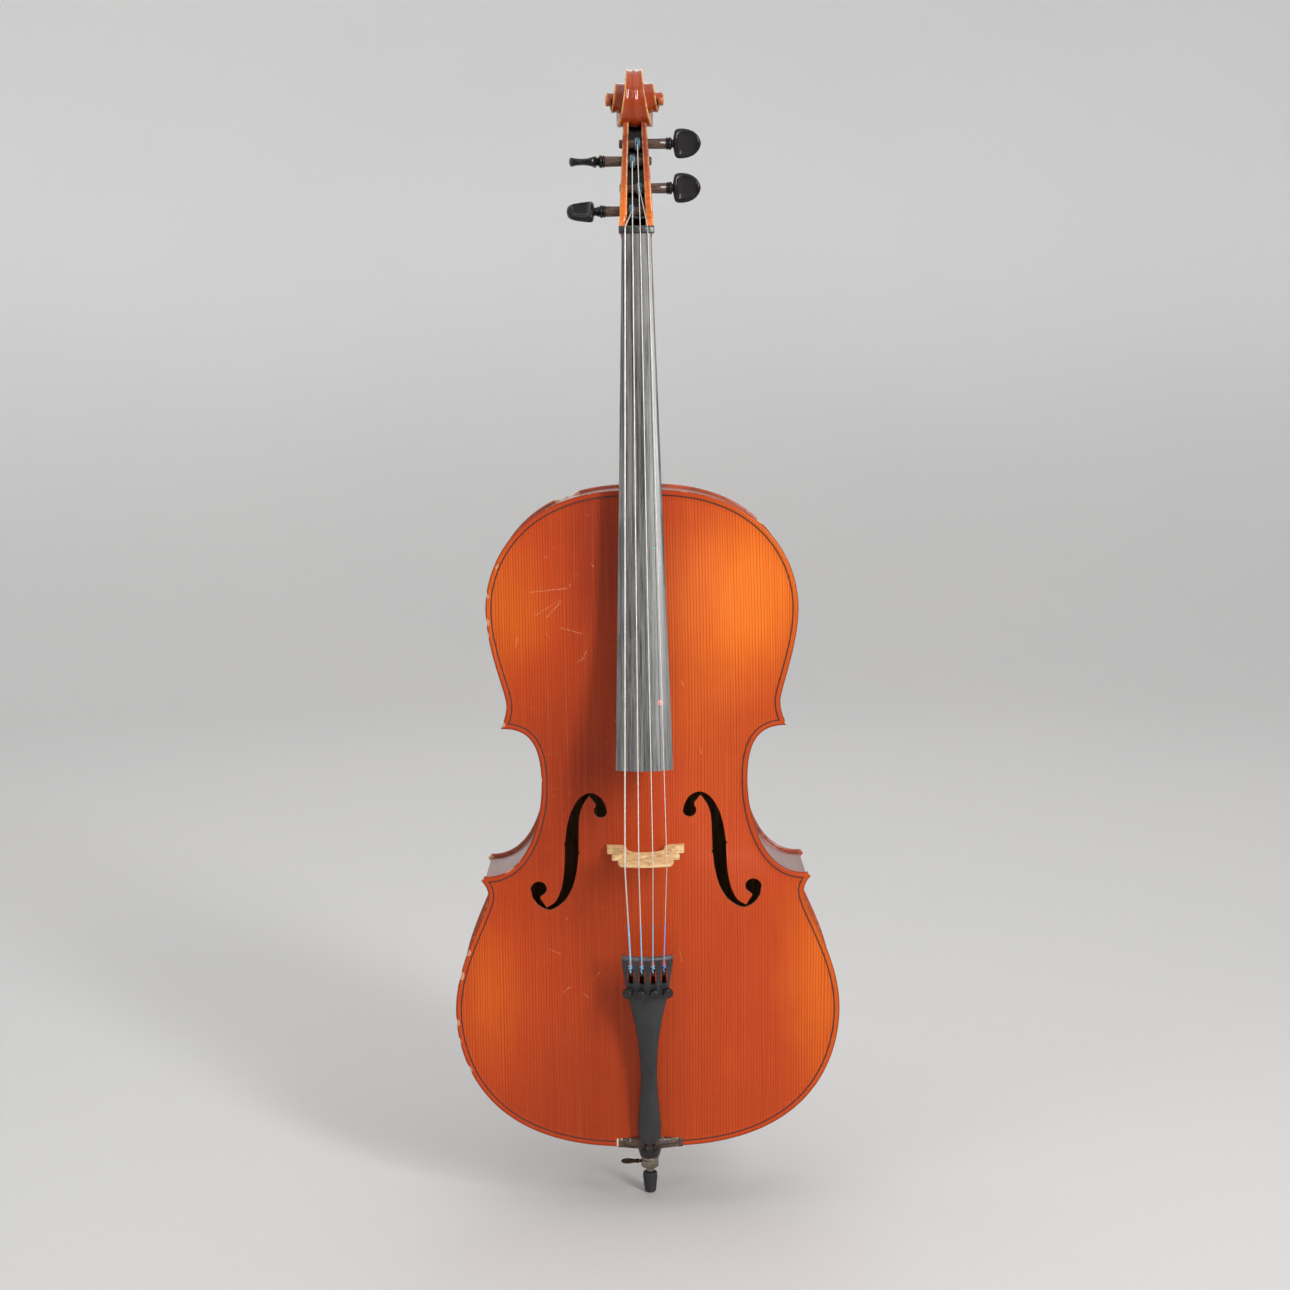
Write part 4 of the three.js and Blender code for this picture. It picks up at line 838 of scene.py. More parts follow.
def arch_height(points, distance, arch):
    """Height of the outer face above the ribs inside the purfling."""
    dip = 0.75 * np.exp(-((distance - 9.0) / 5.5) ** 2)
    return PLATE + arch * rise(points[:, 0], points[:, 1]) - dip


def plate(sign, arch, holes, chips, spacing=6.0):
    """A carved plate as points, faces, material numbers and marks.

    The materials are 0 wood, 1 purfling, 2 its middle, 3 cut edge and 4 bare inside."""
    face = sign * RIB_FACE
    profile = EDGE_PROFILE + PURFLING[1:] + CHANNEL[1:]
    rings, edges, dents = [], [], []
    for distance, height in profile:
        loop, dent = chipped(ring(distance), distance, chips)
        if distance > 9:
            level = arch_height(loop, distance, arch) if height else 0.0
        else:
            level = height + arch * rise(loop[:, 0], loop[:, 1]) * (distance > 3 and height > 1)
        rings.append(at_depth(loop, face + sign * level))
        edges.append(np.full(len(loop), distance / 20))
        dents.append(dent)
    points, faces = loft(rings, caps=False)
    count = len(rings[0])
    first = len(EDGE_PROFILE) - 1
    kinds = []
    for r in range(len(rings) - 1):
        kinds += [{first: 1, first + 1: 2, first + 2: 1}.get(r, 0)] * count
    boundary = rings[-1][:, [0, 2]]
    reach = profile[-1][0]
    low, high = boundary.min(0), boundary.max(0)
    grid = np.array([(x, z) for row, z in enumerate(np.arange(low[1] + 3, high[1] - 2, spacing * 0.87))
                     for x in np.arange(-234 + (row % 2) * spacing / 2, 234, spacing)])
    inside = np.abs(grid[:, 0]) < half_width(grid[:, 1])
    grid = grid[inside & (edge_distance(grid) > reach + spacing * 0.45)]
    for hole in holes:
        grid = grid[nearest(grid, hole) > 1.8]
    spots, kept = filled([boundary, *holes], grid)
    away = edge_distance(spots)
    level = arch_height(spots, away, arch)
    rim = nearest(spots, boundary) < 0.01
    level[rim] = arch_height(spots[rim], reach, arch)
    lip = np.zeros(len(spots))
    for hole in holes:
        lip[nearest(spots, hole) < 0.01] = 0.42
    marks = [*edges, np.minimum(away, 30) / 20]
    dents.append(lip)

    def add(*loops):
        nonlocal points
        start = len(points)
        points = np.vstack([points, *loops])
        total = sum(map(len, loops))
        marks.append(np.full(total, 1.5))
        dents.append(np.zeros(total))
        return start
    base = len(points)
    points = np.vstack([points, at_depth(spots, face + sign * level)])
    below = add(at_depth(spots, face + sign * np.maximum(level - PLATE, 0)))
    faces += [tuple(i + base for i in t) for t in kept] + [tuple(i + below for i in t[::-1]) for t in kept]
    kinds += [0] * len(kept) + [4] * len(kept)
    # the inner face meets the flat ring under the edge
    faces += band(add(at_depth(boundary, face), rings[0]), count)
    kinds += [4] * count
    for hole in holes:
        level = arch_height(hole, edge_distance(hole), arch)
        lips = [at_depth(hole, face + sign * (level - drop)) for drop in (0, PLATE)]
        faces += band(add(*lips), len(hole))
        kinds += [3] * len(hole)
    return points, faces, kinds, np.concatenate(marks), np.concatenate(dents)


def warmth_and_shade(points):
    """How thin and orange the varnish is: most on the flanks of the bouts, least down the bass side. It also
    holds a painted shadow of the fingerboard, darkening the belly on the fingerboard's bass side over the
    upper bout.
    """
    x, z = points[:, 0], points[:, 2]

    def glow(cx, cz, rx, rz):
        return np.exp(-(((x - cx) / rx) ** 2 + ((z - cz) / rz) ** 2))
    across = np.clip((x + 60) / 120, 0, 1)
    value = 0.24 + 0.22 * across * across * (3 - 2 * across) + 0.45 * glow(-150, 630, 75, 110)
    value += 0.6 * glow(125, 640, 60, 90) + 0.2 * glow(60, 600, 70, 150) + 0.42 * glow(-180, 190, 60, 120)
    # painted shadow: the last term below darkens the belly where the fingerboard's shadow falls, on its bass
    # side over the upper bout
    value += 0.4 * glow(195, 200, 45, 120) - 0.2 * glow(-60, 450, 50, 130) - 0.35 * glow(-45, 680, 34, 100)
    return np.clip(value, 0, 1.2)


BUTTON_HALF, BUTTON_TOP = 14.5, 770


def build_plates():
    skins = {"extra": (PURFLING_DARK, PURFLING_PALE, F_EDGE, BARE_SPRUCE), "angle": 50, "merge": 0.002}
    points, faces, kinds, edge, dent = plate(-1, BELLY_ARCH, [F_TREBLE, F_BASS], BELLY_CHIPS)
    # the belly's warmth mark holds the varnish tone and a painted shadow of the fingerboard
    make("belly", points, faces, SPRUCE, "belly_spruce", replaces=["top_plate"], indices=kinds,
         marks={"edge": edge, "chip": dent, "warm": warmth_and_shade(points)}, **skins)
    points, faces, kinds, edge, dent = plate(1, BACK_ARCH, [], BACK_CHIPS)
    turn = np.linspace(0, math.pi, 25)
    half, top = BUTTON_HALF, BUTTON_TOP
    arc = np.stack([half * np.cos(turn), top + (half + 0.1) * np.sin(turn)], 1)
    button = np.vstack([[[half, 738], [half, 756]], arc, [[-half, 756], [-half, 738]]])
    centre = np.array([0, top - 2])
    button = loft([at_depth(button + (centre - button) * (inset / 15), y)
                   for inset, y in ((0.4, 56.05), (0, 56.7), (0, 59.6), (0.5, 60.4), (1.6, 60.8))])
    points, faces = combined((points, faces), button)

    worn = np.clip(1.2 - edge * 7, 0, 1)

    def also(values, on_button):
        return np.concatenate([values, np.full(len(button[0]), on_button)])
    make("back", points, faces, BACK_MAPLE, "back_maple", replaces=["back_plate"],
         indices=kinds + [0] * len(button[1]),
         marks={"edge": also(edge, 0.1), "chip": also(dent, 0.0), "worn": also(worn, 0.3)}, **skins)


# ---- Ribs, blocks and linings ----
def wall(line, thickness, low, high, rows=2):
    """A bent strip: its outer face follows line (x, z) and it runs from low to high in y."""
    section = np.vstack([line, pushed(line, thickness)[::-1]])
    return loft([at_depth(section, y) for y in np.linspace(low, high, rows)])


def trimmed(line, start, end):
    """The line without its first start and last end mm, with a point about every 3 mm."""
    last = run_of(line)[-1]
    return sampled(line, np.linspace(start, last - end, max(int((last - start - end) / 3), 4)))


def build_ribs():
    face = RIB_FACE - 0.3
    outer = dict(zip(("lower", "c", "upper"), stretches(OVERHANG)))
    block = dict(zip(("lower", "c", "upper"), stretches(OVERHANG + 2.3)))
    ends = {"lower": (0, 0.2), "c": (0.2, 0.2), "upper": (0.2, 15.3)}
    for side, sign in (("bass", -1), ("treble", 1)):
        def inner(name, node, part):
            points, faces = part
            make(f"{name}_{side}", points * [sign, 1, 1], faces, BARE_SPRUCE, "inner_spruce",
                 replaces=[f"{node}_{side}"])
        for name, line in outer.items():
            path = trimmed(line, *ends[name])
            points, faces = wall(path, 2, -face, face, 9)
            run = run_of(path) * MM + sign * 3.1
            make(f"rib_{name}_{side}", points * [sign, 1, 1], faces, RIB_MAPLE, "rib_maple",
                 replaces=[f"{name}_rib_{side}"], angle=30, marks={"run": np.tile([*run, *run[::-1]], 9)})
        for name, first, second in (("lower", "lower", "c"), ("upper", "c", "upper")):
            one = trimmed(block[first], length_of(block[first]) - 36, 0)
            two = trimmed(block[second], 0, length_of(block[second]) - 36)
            shape = np.vstack([one, two[1:]])
            block_part = loft([at_depth(shape, y) for y in (-face, face)])
            inner(f"corner_block_{name}", f"{name}_corner_block", block_part)
        for name, start, end in (("lower", 61, 37), ("upper", 37, 61)):
            for layer, low in (("front", -face), ("back", face - 16)):
                strip = wall(trimmed(block[name], start, end), 3, low, low + 16)
                inner(f"lining_{name}_{layer}", f"{name}_lining_{layer}", strip)


# ---- Neck and head ----
NUT_Z, NUT_RISE = 1035.0, 1.3
GLUE_DEPTH, GLUE_SLOPE = -40.3, 0.163
BOARD_DEPTH, BOARD_SLOPE = -49.0, 0.1714
BOARD_HALF, BOARD_SPREAD, BOARD_LENGTH = 16.25, 15, 580
# How square a section of the neck is: 2 is an ellipse, more is squarer.
NECK_POWER, NECK_ROOT = 2.1, 6
NUT_X = {"C": -12.5, "G": -4.2, "D": 4.2, "A": 12.5}


def glue_y(z):
    return GLUE_DEPTH - GLUE_SLOPE * (NUT_Z - z)


def board_y(z):
    return BOARD_DEPTH - BOARD_SLOPE * (NUT_Z - z)


def board_half(z):
    return BOARD_HALF + BOARD_SPREAD * (NUT_Z - z) / BOARD_LENGTH


def neck_ring(z, half, front, back, power, count=22):
    """A half-round section: flat front, full cheeks, round back."""
    turn = np.linspace(0, math.pi, count)
    c, s = np.cos(turn), np.sin(turn)
    x = half * np.sign(c) * np.abs(c) ** (2 / power)
    y = front + 1.2 + (back - front - 1.2) * np.abs(s) ** (2 / power)
    loop = np.stack([x, y, np.full(count, z)], 1)
    return np.vstack([[[half, front, z]], loop, [[-half, front, z]]])


def build_neck():
    depth = ([784, 830, 900, 1005, 1028, 1040], [23.5, 22.5, 22, 20.5, 20.5, 23.5])

    def section(z, front, back, power):
        return neck_ring(z, board_half(z) - 0.2, front, back, power)
    # the root sits between the two plates on the top rib, then reaches out over the belly's edge
    rings = [section(z, -55.7, 55.6, NECK_ROOT) for z in (751.9, 755.2)]
    rings += [section(z, glue_y(z) + 0.3, 55.6, NECK_ROOT) for z in (755.4, 770, 781)]
    for y, z in bezier([(55.6, 784), (16, 783.2), (-44, 782), (glue_y(840) + 22.4, 842)], 22):
        rings.append(section(z, glue_y(z) + 0.3, y, NECK_POWER + 3.9 * np.clip((y + 40) / 90, 0, 1)))
    for z in (845, 870, 900, 940, 980, 1005, 1020):
        rings.append(section(z, glue_y(z) + 0.3, glue_y(z) + float(np.interp(z, *depth)), NECK_POWER))
    points, faces = loft(rings)
    # the heel narrows towards the button
    reach = np.clip((points[:, 1] + 60) / 116, 0, 1) * np.clip((850 - points[:, 2]) / 60, 0, 1)
    points[:, 0] *= 1 - 0.38 * reach
    make("neck", points, faces, NECK_MAPLE, "neck_maple", replaces=["neck_scroll"], angle=40)


# One row for each height: z, outer half width, front edge, back.
PEGBOX_KNOTS = np.array([
    (1012, 15.9, -43.8, -23.5), (1022, 16.0, -42.0, -20), (1034, 17.0, -40.2, -11), (1041, 19.5, -39.2, -5.5),
    (1048, 18.9, -37.4, 0.0), (1062, 18.2, -33.9, 6), (1080, 17.2, -29.4, 8.4), (1100, 16.1, -24.5, 10.5),
    (1125, 14.7, -18.3, 13.5), (1142, 13.8, -14.1, 18.5), (1152, 13.3, -11.5, 22.5), (1164, 12.9, -8.8, 27),
])
PEGBOX_HOLLOW = ([1042, 1062, 1100, 1152, 1164], [10.3, 9.9, 8.8, 6.8, 6.4])
PEGBOX_FLOOR = ([1042, 1062, 1100, 1147, 1164], [-17, -4, 1, 7, 10])
PEGBOX_CORNER = 5.5


def pegbox_at(z):
    """Outer half width, front edge and back of the pegbox at a height."""
    return [float(np.interp(z, PEGBOX_KNOTS[:, 0], PEGBOX_KNOTS[:, k])) for k in (1, 2, 3)]


def pegbox_side(z):
    """One half of a section through the hollow pegbox, as (x, y, wear, painted shade inside)."""
    outer, front, back = pegbox_at(z)
    inner, bottom = float(np.interp(z, *PEGBOX_HOLLOW)), float(np.interp(z, *PEGBOX_FLOOR))
    # a small scoop out of each cheek's front edge, just above the nut
    scoop = 3.2 * math.exp(-((z - 1050.5) / 4.5) ** 2)
    # the last number of each point is painted shade, 1 on the walls and floor inside the hollow
    side = [(inner, bottom, 0, 1), (inner, front + scoop + 6, 0, 1), (inner, front + scoop + 1, 0, 0.9),
            (inner + 0.5, front + scoop + 0.3, 1, 0), (inner + 1.2, front + scoop * 0.9, 0.25, 0),
            ((inner + outer) / 2, front + scoop * 0.7 - 0.2, 0, 0),
            (outer - 1.2, front + scoop * 0.35, 0.2, 0), (outer - 0.5, front + 0.35 + scoop * 0.3, 1, 0),
            (outer, front + 1.3, 0.3, 0), (outer + 0.2, front + 12, 0, 0),
            (outer, back - PEGBOX_CORNER - 3, 0, 0)]
    for a in np.linspace(0.2, 1, 5):
        side.append((outer - PEGBOX_CORNER + PEGBOX_CORNER * math.cos(a * math.pi / 2),
                     back - PEGBOX_CORNER + PEGBOX_CORNER * math.sin(a * math.pi / 2), 0.25 * (a < 1), 0))
    return side + [(outer * 0.3, back - 1.0, 0, 0), (0, back, 0, 0)]


def build_pegbox():
    rings, worn, dark = [], [], []
    for z in np.concatenate([[1042.2], np.linspace(1043.5, 1163, 41)]):
        side = pegbox_side(z)
        full = side + [(-x, y, w, d) for x, y, w, d in side[:-1][::-1]]
        full.append((0, side[0][1], 0, 1))
        rings.append([(x, y, z) for x, y, _, _ in full])
        worn += [w for _, _, w, _ in full]
        dark += [d for _, _, _, d in full]
    lower = []
    for z in (1006, 1014, 1022, 1030, 1036, 1042.6):
        power = NECK_POWER + 2.2 * np.clip((z - 1006) / 36, 0, 1)
        lower.append(neck_ring(z, *pegbox_at(z), power, 26))
    block = loft(lower)
    plain = [0.0] * len(block[0])
    # inside carries the painted shade inside the pegbox
    make("pegbox", *combined(loft(rings), block), HEAD_MAPLE, "neck_maple", replaces=["neck_scroll"],
         angle=38, marks={"worn": worn + plain, "inside": dark + plain})


EYE_Y, EYE_Z = 7.0, 1184.0
TURN_KNOTS = ([-60, 0, 90, 180, 222, 252, 276, 300, 360, 450, 540, 630, 720, 810, 900, 1400],
              [31.5, 33.4, 33.9, 32.8, 32.6, 33.0, 28.5, 25.2, 22.8, 18.8, 16.4, 14.2, 11.4, 8.6, 6.7, 6.6])
WIDTH_KNOTS = ([-60, 0, 60, 100, 150, 190, 230, 262, 300, 360, 450, 520, 580, 630, 720, 810, 880, 1400],
               [14.2, 11.2, 9.2, 8.6, 9.8, 12.6, 17.4, 20.4, 20.4, 20.4, 20.9, 22.6, 25.2, 26.2, 28.4, 30.8,
                32.3, 32.3])


def smooth_interp(x, knots):
    return float(sum(np.interp(x + step, *knots) * 0.2 for step in (-24, -12, 0, 12, 24)))


def scroll_row(turn):
    """Half of the scroll's section at an angle in degrees, as (x, radius, wear)."""
    radius, width = smooth_interp(turn, TURN_KNOTS), smooth_interp(turn, WIDTH_KNOTS)
    next_radius = smooth_interp(turn + 360, TURN_KNOTS)
    first = turn < 300
    root = 0.0 if first else smooth_interp(turn - 360, WIDTH_KNOTS) - 1.2
    edge = 0.75
    row = []
    for t in np.linspace(0, 1, 10):
        flute = 0.7 * math.sin(math.pi * t)
        if first:
            flute = 1.5 * math.sin(math.pi * min(t / 0.92, 1)) ** 1.4 + 0.25 * (t > 0.95)
        row.append((root + (width - edge - root) * t, radius - flute, (1.0 if first else 0.8) * (t > 0.97)))
    row += [(width, radius - edge * 1.1, 1.0), (width - 0.15, radius - edge * 1.1 - 0.7, 0.2)]
    for t in np.linspace(0.12, 1, 7):
        r = (radius - 2.2) + (next_radius - 0.2 - radius + 2.2) * t
        row.append((width - 0.15 - 1.9 * math.sin(math.pi * min(t, 0.72)) ** 0.8, min(r, radius - 2), 0.0))
    return row


def build_scroll():
    rings, worn = [], []
    for turn in np.arange(-60, 901, 6.0):
        row = scroll_row(turn)
        c, s = math.cos(math.radians(turn)), math.sin(math.radians(turn))
        rings.append([(x, EYE_Y + max(r, 0.4) * c, EYE_Z + max(r, 0.4) * s) for x, r, _ in row])
        worn += [wear for _, _, wear in row]
    tip = lathe([(0.2, 26), (6.6, 26), (6.6, 31.2), (5.6, 32.4), (3.6, 32.6), (2.6, 32.2), (0.3, 32.1)], 40,
                "x", (0, EYE_Y, EYE_Z))
    worn += [w for w in (0, 0, 0.3, 1, 0.5, 0, 0) for _ in range(40)]
    points, faces = combined(loft(rings, caps=False, closed=False), tip)
    both = combined((points, faces), (points * [-1, 1, 1], [f[::-1] for f in faces]))
    make("scroll", *both, HEAD_MAPLE, "neck_maple", replaces=["neck_scroll"], angle=42,
         marks={"worn": worn * 2, "inside": [0.0] * (2 * len(worn))}, merge=0.01)


# ---- Fingerboard, nut and saddle ----
FINGERBOARD_RADIUS = 62.0


def board_top(x, z):
    """Depth of the fingerboard's round face."""
    return board_y(z) + FINGERBOARD_RADIUS - np.sqrt(FINGERBOARD_RADIUS ** 2 - x ** 2)


def build_fingerboard():
    rings = []
    u, low = np.linspace(-1, 1, 33), np.linspace(1, -1, 13)
    shoulder = np.clip((np.abs(u) - 0.955) / 0.045, 0, 1)
    for z in np.linspace(NUT_Z - BOARD_LENGTH, NUT_Z, 30):
        half = board_half(z)
        belly = 4.2 * np.clip((790 - z) / 60, 0, 1)
        y = board_top(u * half, z) + 0.9 * shoulder ** 2
        face = np.stack([u * half, y, np.full(len(u), z)], 1)
        under = glue_y(z) - belly * np.sqrt(np.clip(1 - low ** 2, 0, 1)) * 0.9
        rings.append(np.vstack([face, np.stack([low * (half - 0.5), under, np.full(len(low), z)], 1)]))
    dressed("fingerboard", loft(rings), WORN_EBONY, "ebony", angle=32)
    for name, x, z, size, material in (("spot_pink", 18.4, 528, 2.9, PINK_SPOT),
                                       ("spot_green", 14.6, 694, 1.1, GREEN_SPOT)):
        turn = around(24)
        px, pz = x + size * np.cos(turn), z + size * np.sin(turn)
        top = board_top(px, pz)
        points, faces = loft([np.stack([px, top + 0.1, pz], 1), np.stack([px, top - 0.1, pz], 1),
                              np.stack([x + (px - x) * 0.8, top - 0.18, z + (pz - z) * 0.8], 1)])
        make(name, points, faces, material, "ebony")


def build_nut():
    rings = []
    x = np.linspace(-18.8, 18.8, 61)
    for z, shrink in ((1035.3, 0.9), (1036, 0.2), (1040, 0), (1042.7, 0.5), (1043.5, 1.3)):
        y = board_top(x, NUT_Z) - NUT_RISE + shrink
        for groove in NUT_X.values():
            y += 0.5 * np.exp(-((x - groove) / 0.9) ** 2)
        top = np.stack([x, y, np.full(len(x), z)], 1)
        ends = spline([(18.8, 0), (19.5 - shrink * 0.3, 1.6), (19.7 - shrink * 0.3, 4)], 4)[1:]
        right = np.array([(px, y[-1] + dy, z) for px, dy in ends])
        base = np.array([(px, glue_y(NUT_Z), z) for px in (19.6, 0, -19.6)])
        rings.append(np.vstack([top, right, base, (right * [-1, 1, 1])[::-1]]))
    dressed("nut", loft(rings), BLACK_EBONY, "ebony", angle=40)


def build_saddle():
    rings = []
    for x in np.concatenate([[-38, -37.4], np.linspace(-36, 36, 33), [37.4, 38]]):
        end = 0.8 if abs(x) > 37.9 else 0.0
        top = -61.5 - 6.5 * math.cos(min(abs(x) / 32, 1) * math.pi / 2) ** 1.1
        notch = 0.9 * math.exp(-((abs(x) - 7) / 2.2) ** 2)
        loop = [(-0.7 + end, -56.4), (-0.8 + end, -58.5), (-0.8 + end, top + 2 + notch),
                (0.0 + end, top + 0.6 + notch), (1.4 + end, top + notch), (7, top + 0.4), (10.2, top + 1.8),
                (11.4 - end, min(top + 4.4, -57.5)), (11.4 - end, -56.4)]
        rings.append([(x, y, z) for z, y in loop])
    dressed("saddle", loft(rings), SADDLE_WOOD, "ebony", angle=40)


# ---- Bridge ----
BRIDGE_LOW, BRIDGE_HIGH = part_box("bridge")
BRIDGE_Z = (BRIDGE_LOW.z + BRIDGE_HIGH.z) / 2 / MM - LIFT
BRIDGE_TOP = BRIDGE_LOW.y / MM
BRIDGE_RADIUS, BRIDGE_HALF, BRIDGE_TAPER = 60.0, 4.3, 3.0
BRIDGE_X = {"C": -22.7, "G": -7.6, "D": 7.6, "A": 22.7}


def bridge_crown(x):
    return BRIDGE_TOP + BRIDGE_RADIUS - math.sqrt(BRIDGE_RADIUS ** 2 - x * x)


def build_bridge():
    base = float(belly_y(0, BRIDGE_Z))
    height = base - BRIDGE_TOP

    def foot(x):
        return base - float(belly_y(x, BRIDGE_Z)) + 0.2
    leg = spline([(43.5, foot(43.5) + 1.6), (42.4, 5.5), (37, 7.6), (31.4, 12.5), (29, 20), (29.2, 29),
                  (33, 36), (36.6, 40.4), (37.2, 43.6), (34.2, 46.2), (29.6, 45.2), (26.2, 44), (23, 46.4),
                  (22, 51), (23.4, 55.8), (27.4, 57.6), (30, 60.6), (30.6, 65), (29.6, 72),
                  (28.2, height - 9)], 5)
    crown = np.array([(x, base - bridge_crown(x)) for x in np.linspace(26.8, -26.8, 27)])
    arch = spline([(25.4, foot(25.4)), (23.4, 3.6), (21.4, 7.6), (20.8, 14), (19.8, 21), (16, 27.4), (10, 31),
                   (4.6, 32.6), (0, 33)], 5)
    right = np.vstack([[[26.4, foot(26.4)], [43.4, foot(43.4)]], leg])
    outline = np.vstack([right, crown, (right * [-1, 1])[::-1], arch * [-1, 1], arch[::-1][1:]])
    heart = spline([(0, 45), (4.6, 48.6), (8.4, 54), (8.8, 58.6), (5.8, 61.8), (2.4, 61), (0, 58.6),
                    (-2.4, 61), (-5.8, 61.8), (-8.8, 58.6), (-8.4, 54), (-4.6, 48.6)], 4, closed=True)
    kidney = spline([(19.5, 33), (24, 35), (27, 39.4), (24.6, 41.4), (20.6, 40.6), (17.4, 37.4)], 4,
                    closed=True)
    loops = [outline, heart, kidney, (kidney * [-1, 1])[::-1]]
    grid = np.array([(x, h) for h in np.arange(2, height, 3.0) for x in np.arange(-44, 45, 3.0)])
    spots, kept = filled(loops, grid[np.min([nearest(grid, loop) for loop in loops], axis=0) > 1.0])

    def faced(flat, sign):
        thick = BRIDGE_HALF - BRIDGE_TAPER * np.clip((flat[:, 1] - 8) / (height - 8), 0, 1)
        return np.stack([flat[:, 0], base - flat[:, 1], BRIDGE_Z + sign * thick], 1)
    points = [faced(spots, 1), faced(spots, -1)]
    faces = kept + [tuple(i + len(spots) for i in t[::-1]) for t in kept]
    start = 2 * len(spots)
    for loop in loops:
        points += [faced(loop, 1), faced(loop, -1)]
        faces += band(start, len(loop))
        start += 2 * len(loop)
    dressed("bridge", (np.vstack(points), faces), BRIDGE_MAPLE, "bridge_maple", angle=40, merge=0.002,
            bevel=0.45)


# ---- Tailpiece and fine tuners ----
TAIL_TOP_Z, TAIL_END_Z = 245.0, 8.0
TAIL_TOP_Y, TAIL_END_Y = -141.0, -77.0
TAIL_SLOPE = (TAIL_END_Y - TAIL_TOP_Y) / (TAIL_TOP_Z - TAIL_END_Z)
TAIL_THICKNESS = 6.5
TAIL_WIDTH = ([8, 12, 18, 27, 46, 71, 94, 118, 142, 166, 187, 207, 238, 245],
              [9, 20, 25.5, 27.3, 24.2, 20.4, 18.5, 19.7, 23.5, 31, 40.5, 48.5, 57, 58])
TAIL_RADIUS = ([8, 46, 94, 142, 203, 245], [16, 16, 13, 18, 45, 52])
SLOT_X = {"C": -18.5, "G": -6.2, "D": 6.2, "A": 18.5}
TUNER_X = {"C": -20.5, "G": -7.0, "D": 7.0, "A": 20.5}
TUNER_Z, PIVOT_Z = 203.0, 227.0
SLOT_LOW, SLOT_HIGH, SLOT_WIDTH = 212.0, 240.8, 7.0
RIDGE_Z = 242.6


def tail_y(z):
    return TAIL_TOP_Y + TAIL_SLOPE * (TAIL_TOP_Z - z)


def tail_top(x, z):
    """Depth of the tailpiece's round face, without its ridge and its softened ends."""
    radius = np.interp(z, *TAIL_RADIUS)
    return tail_y(z) + radius - np.sqrt(radius ** 2 - np.minimum(np.abs(x), radius * 0.98) ** 2)


def tail_half(z):
    """Half the tailpiece's width, evened out over 10 mm except near the ends."""
    steps = (-5, -2.5, 0, 2.5, 5) if 20 < z < 236 else (0,)
    return float(np.mean([np.interp(z + step, *TAIL_WIDTH) for step in steps])) / 2 - 0.1


def string_slots():
    """The keyhole slots as one part: round below, narrow above."""
    turn = np.linspace(math.pi, 2 * math.pi, 13)
    wide = SLOT_WIDTH / 2
    neck = wide - 1.1
    right = [(wide, 226), (neck, 230), (neck, SLOT_HIGH - 1.5), (neck - 0.6, SLOT_HIGH)]
    shape = np.vstack([np.stack([wide * np.cos(turn), SLOT_LOW + wide + wide * np.sin(turn)], 1), right,
                       [(-x, z) for x, z in right[::-1]]])
    return combined(*[loft([at_depth(shape + [x, 0], y) for y in (-160, -115)]) for x in SLOT_X.values()])


def build_tailpiece():
    rings, worn = [], []
    u, v = np.sin(np.linspace(-1, 1, 25) * math.pi / 2), np.linspace(1, -1, 13)
    shoulder = np.clip((np.abs(u) - 0.93) / 0.07, 0, 1)
    for z in np.concatenate([[8, 9, 10.5, 12.5, 15, 18], np.arange(22, 240, 4.0), [240, 242.5, 244.3, 245]]):
        half = tail_half(z)
        # a low ridge across the top end, where the strings pass over
        ridge = 0.9 * math.exp(-((z - RIDGE_Z) / 1.6) ** 2)
        fall = 1.4 * max(0.0, (z - 243.6) / 1.4) ** 2 + 1.2 * max(0.0, (12 - z) / 4) ** 2
        y = tail_top(u * half, z) - ridge + 0.6 + fall + 0.9 * shoulder ** 2
        under = tail_top(v * half, z) + TAIL_THICKNESS - 0.4
        rings.append(np.vstack([np.stack([u * half, y, np.full(25, z)], 1),
                                np.stack([v * half * 0.93, under, np.full(13, z)], 1)]))
        worn += [float(z > 240.5 or ridge > 0.3)] * 25 + [0.0] * 13
    obj = dressed("tailpiece", loft(rings), COMPOSITE, "tailpiece_composite", angle=38, marks={"worn": worn})
    mesh = new_mesh("slots", *string_slots())
    faced_outwards(mesh)
    cutter = linked("slots", mesh)
    applied(obj, "BOOLEAN", operation="DIFFERENCE", solver="EXACT", object=cutter)
    bpy.data.objects.remove(cutter)
    obj.data.set_sharp_from_angle(angle=math.radians(38))


def applied(obj, kind, **settings):
    """Adds a modifier and makes its result the object's own mesh."""
    made = obj.modifiers.new("made", kind)
    for key, value in settings.items():
        setattr(made, key, value)
    graph = bpy.context.evaluated_depsgraph_get()
    graph.update()
    shown = obj.evaluated_get(graph)
    result = bpy.data.meshes.new_from_object(shown, preserve_all_data_layers=True, depsgraph=graph)
    obj.modifiers.remove(made)
    obj.data = result


def repainted(name, material):
    """A carried-over CAD node in another material."""
    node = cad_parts[name]
    node.data.materials.clear()
    node.data.materials.append(material)


def turned_to(direction, place, part):
    """A part made along +Z, turned to point along direction and moved to place."""
    points, faces = part
    spin = Vector((0, 0, 1)).rotation_difference(Vector(direction)).to_matrix()
    return points @ np.array(spin).T + np.array(place), faces


KNOB_PROFILE = ((0.5, 2.7, 0), (4.4, 2.7, 0), (5.5, 3.1, 0.5), (5.8, 3.6, 1), (5.8, 7.0, 1), (5.6, 7.7, 0.6),
                (4.9, 8.3, 0), (3.4, 8.5, 0), (1.6, 8.55, 0), (0.3, 8.55, 0))


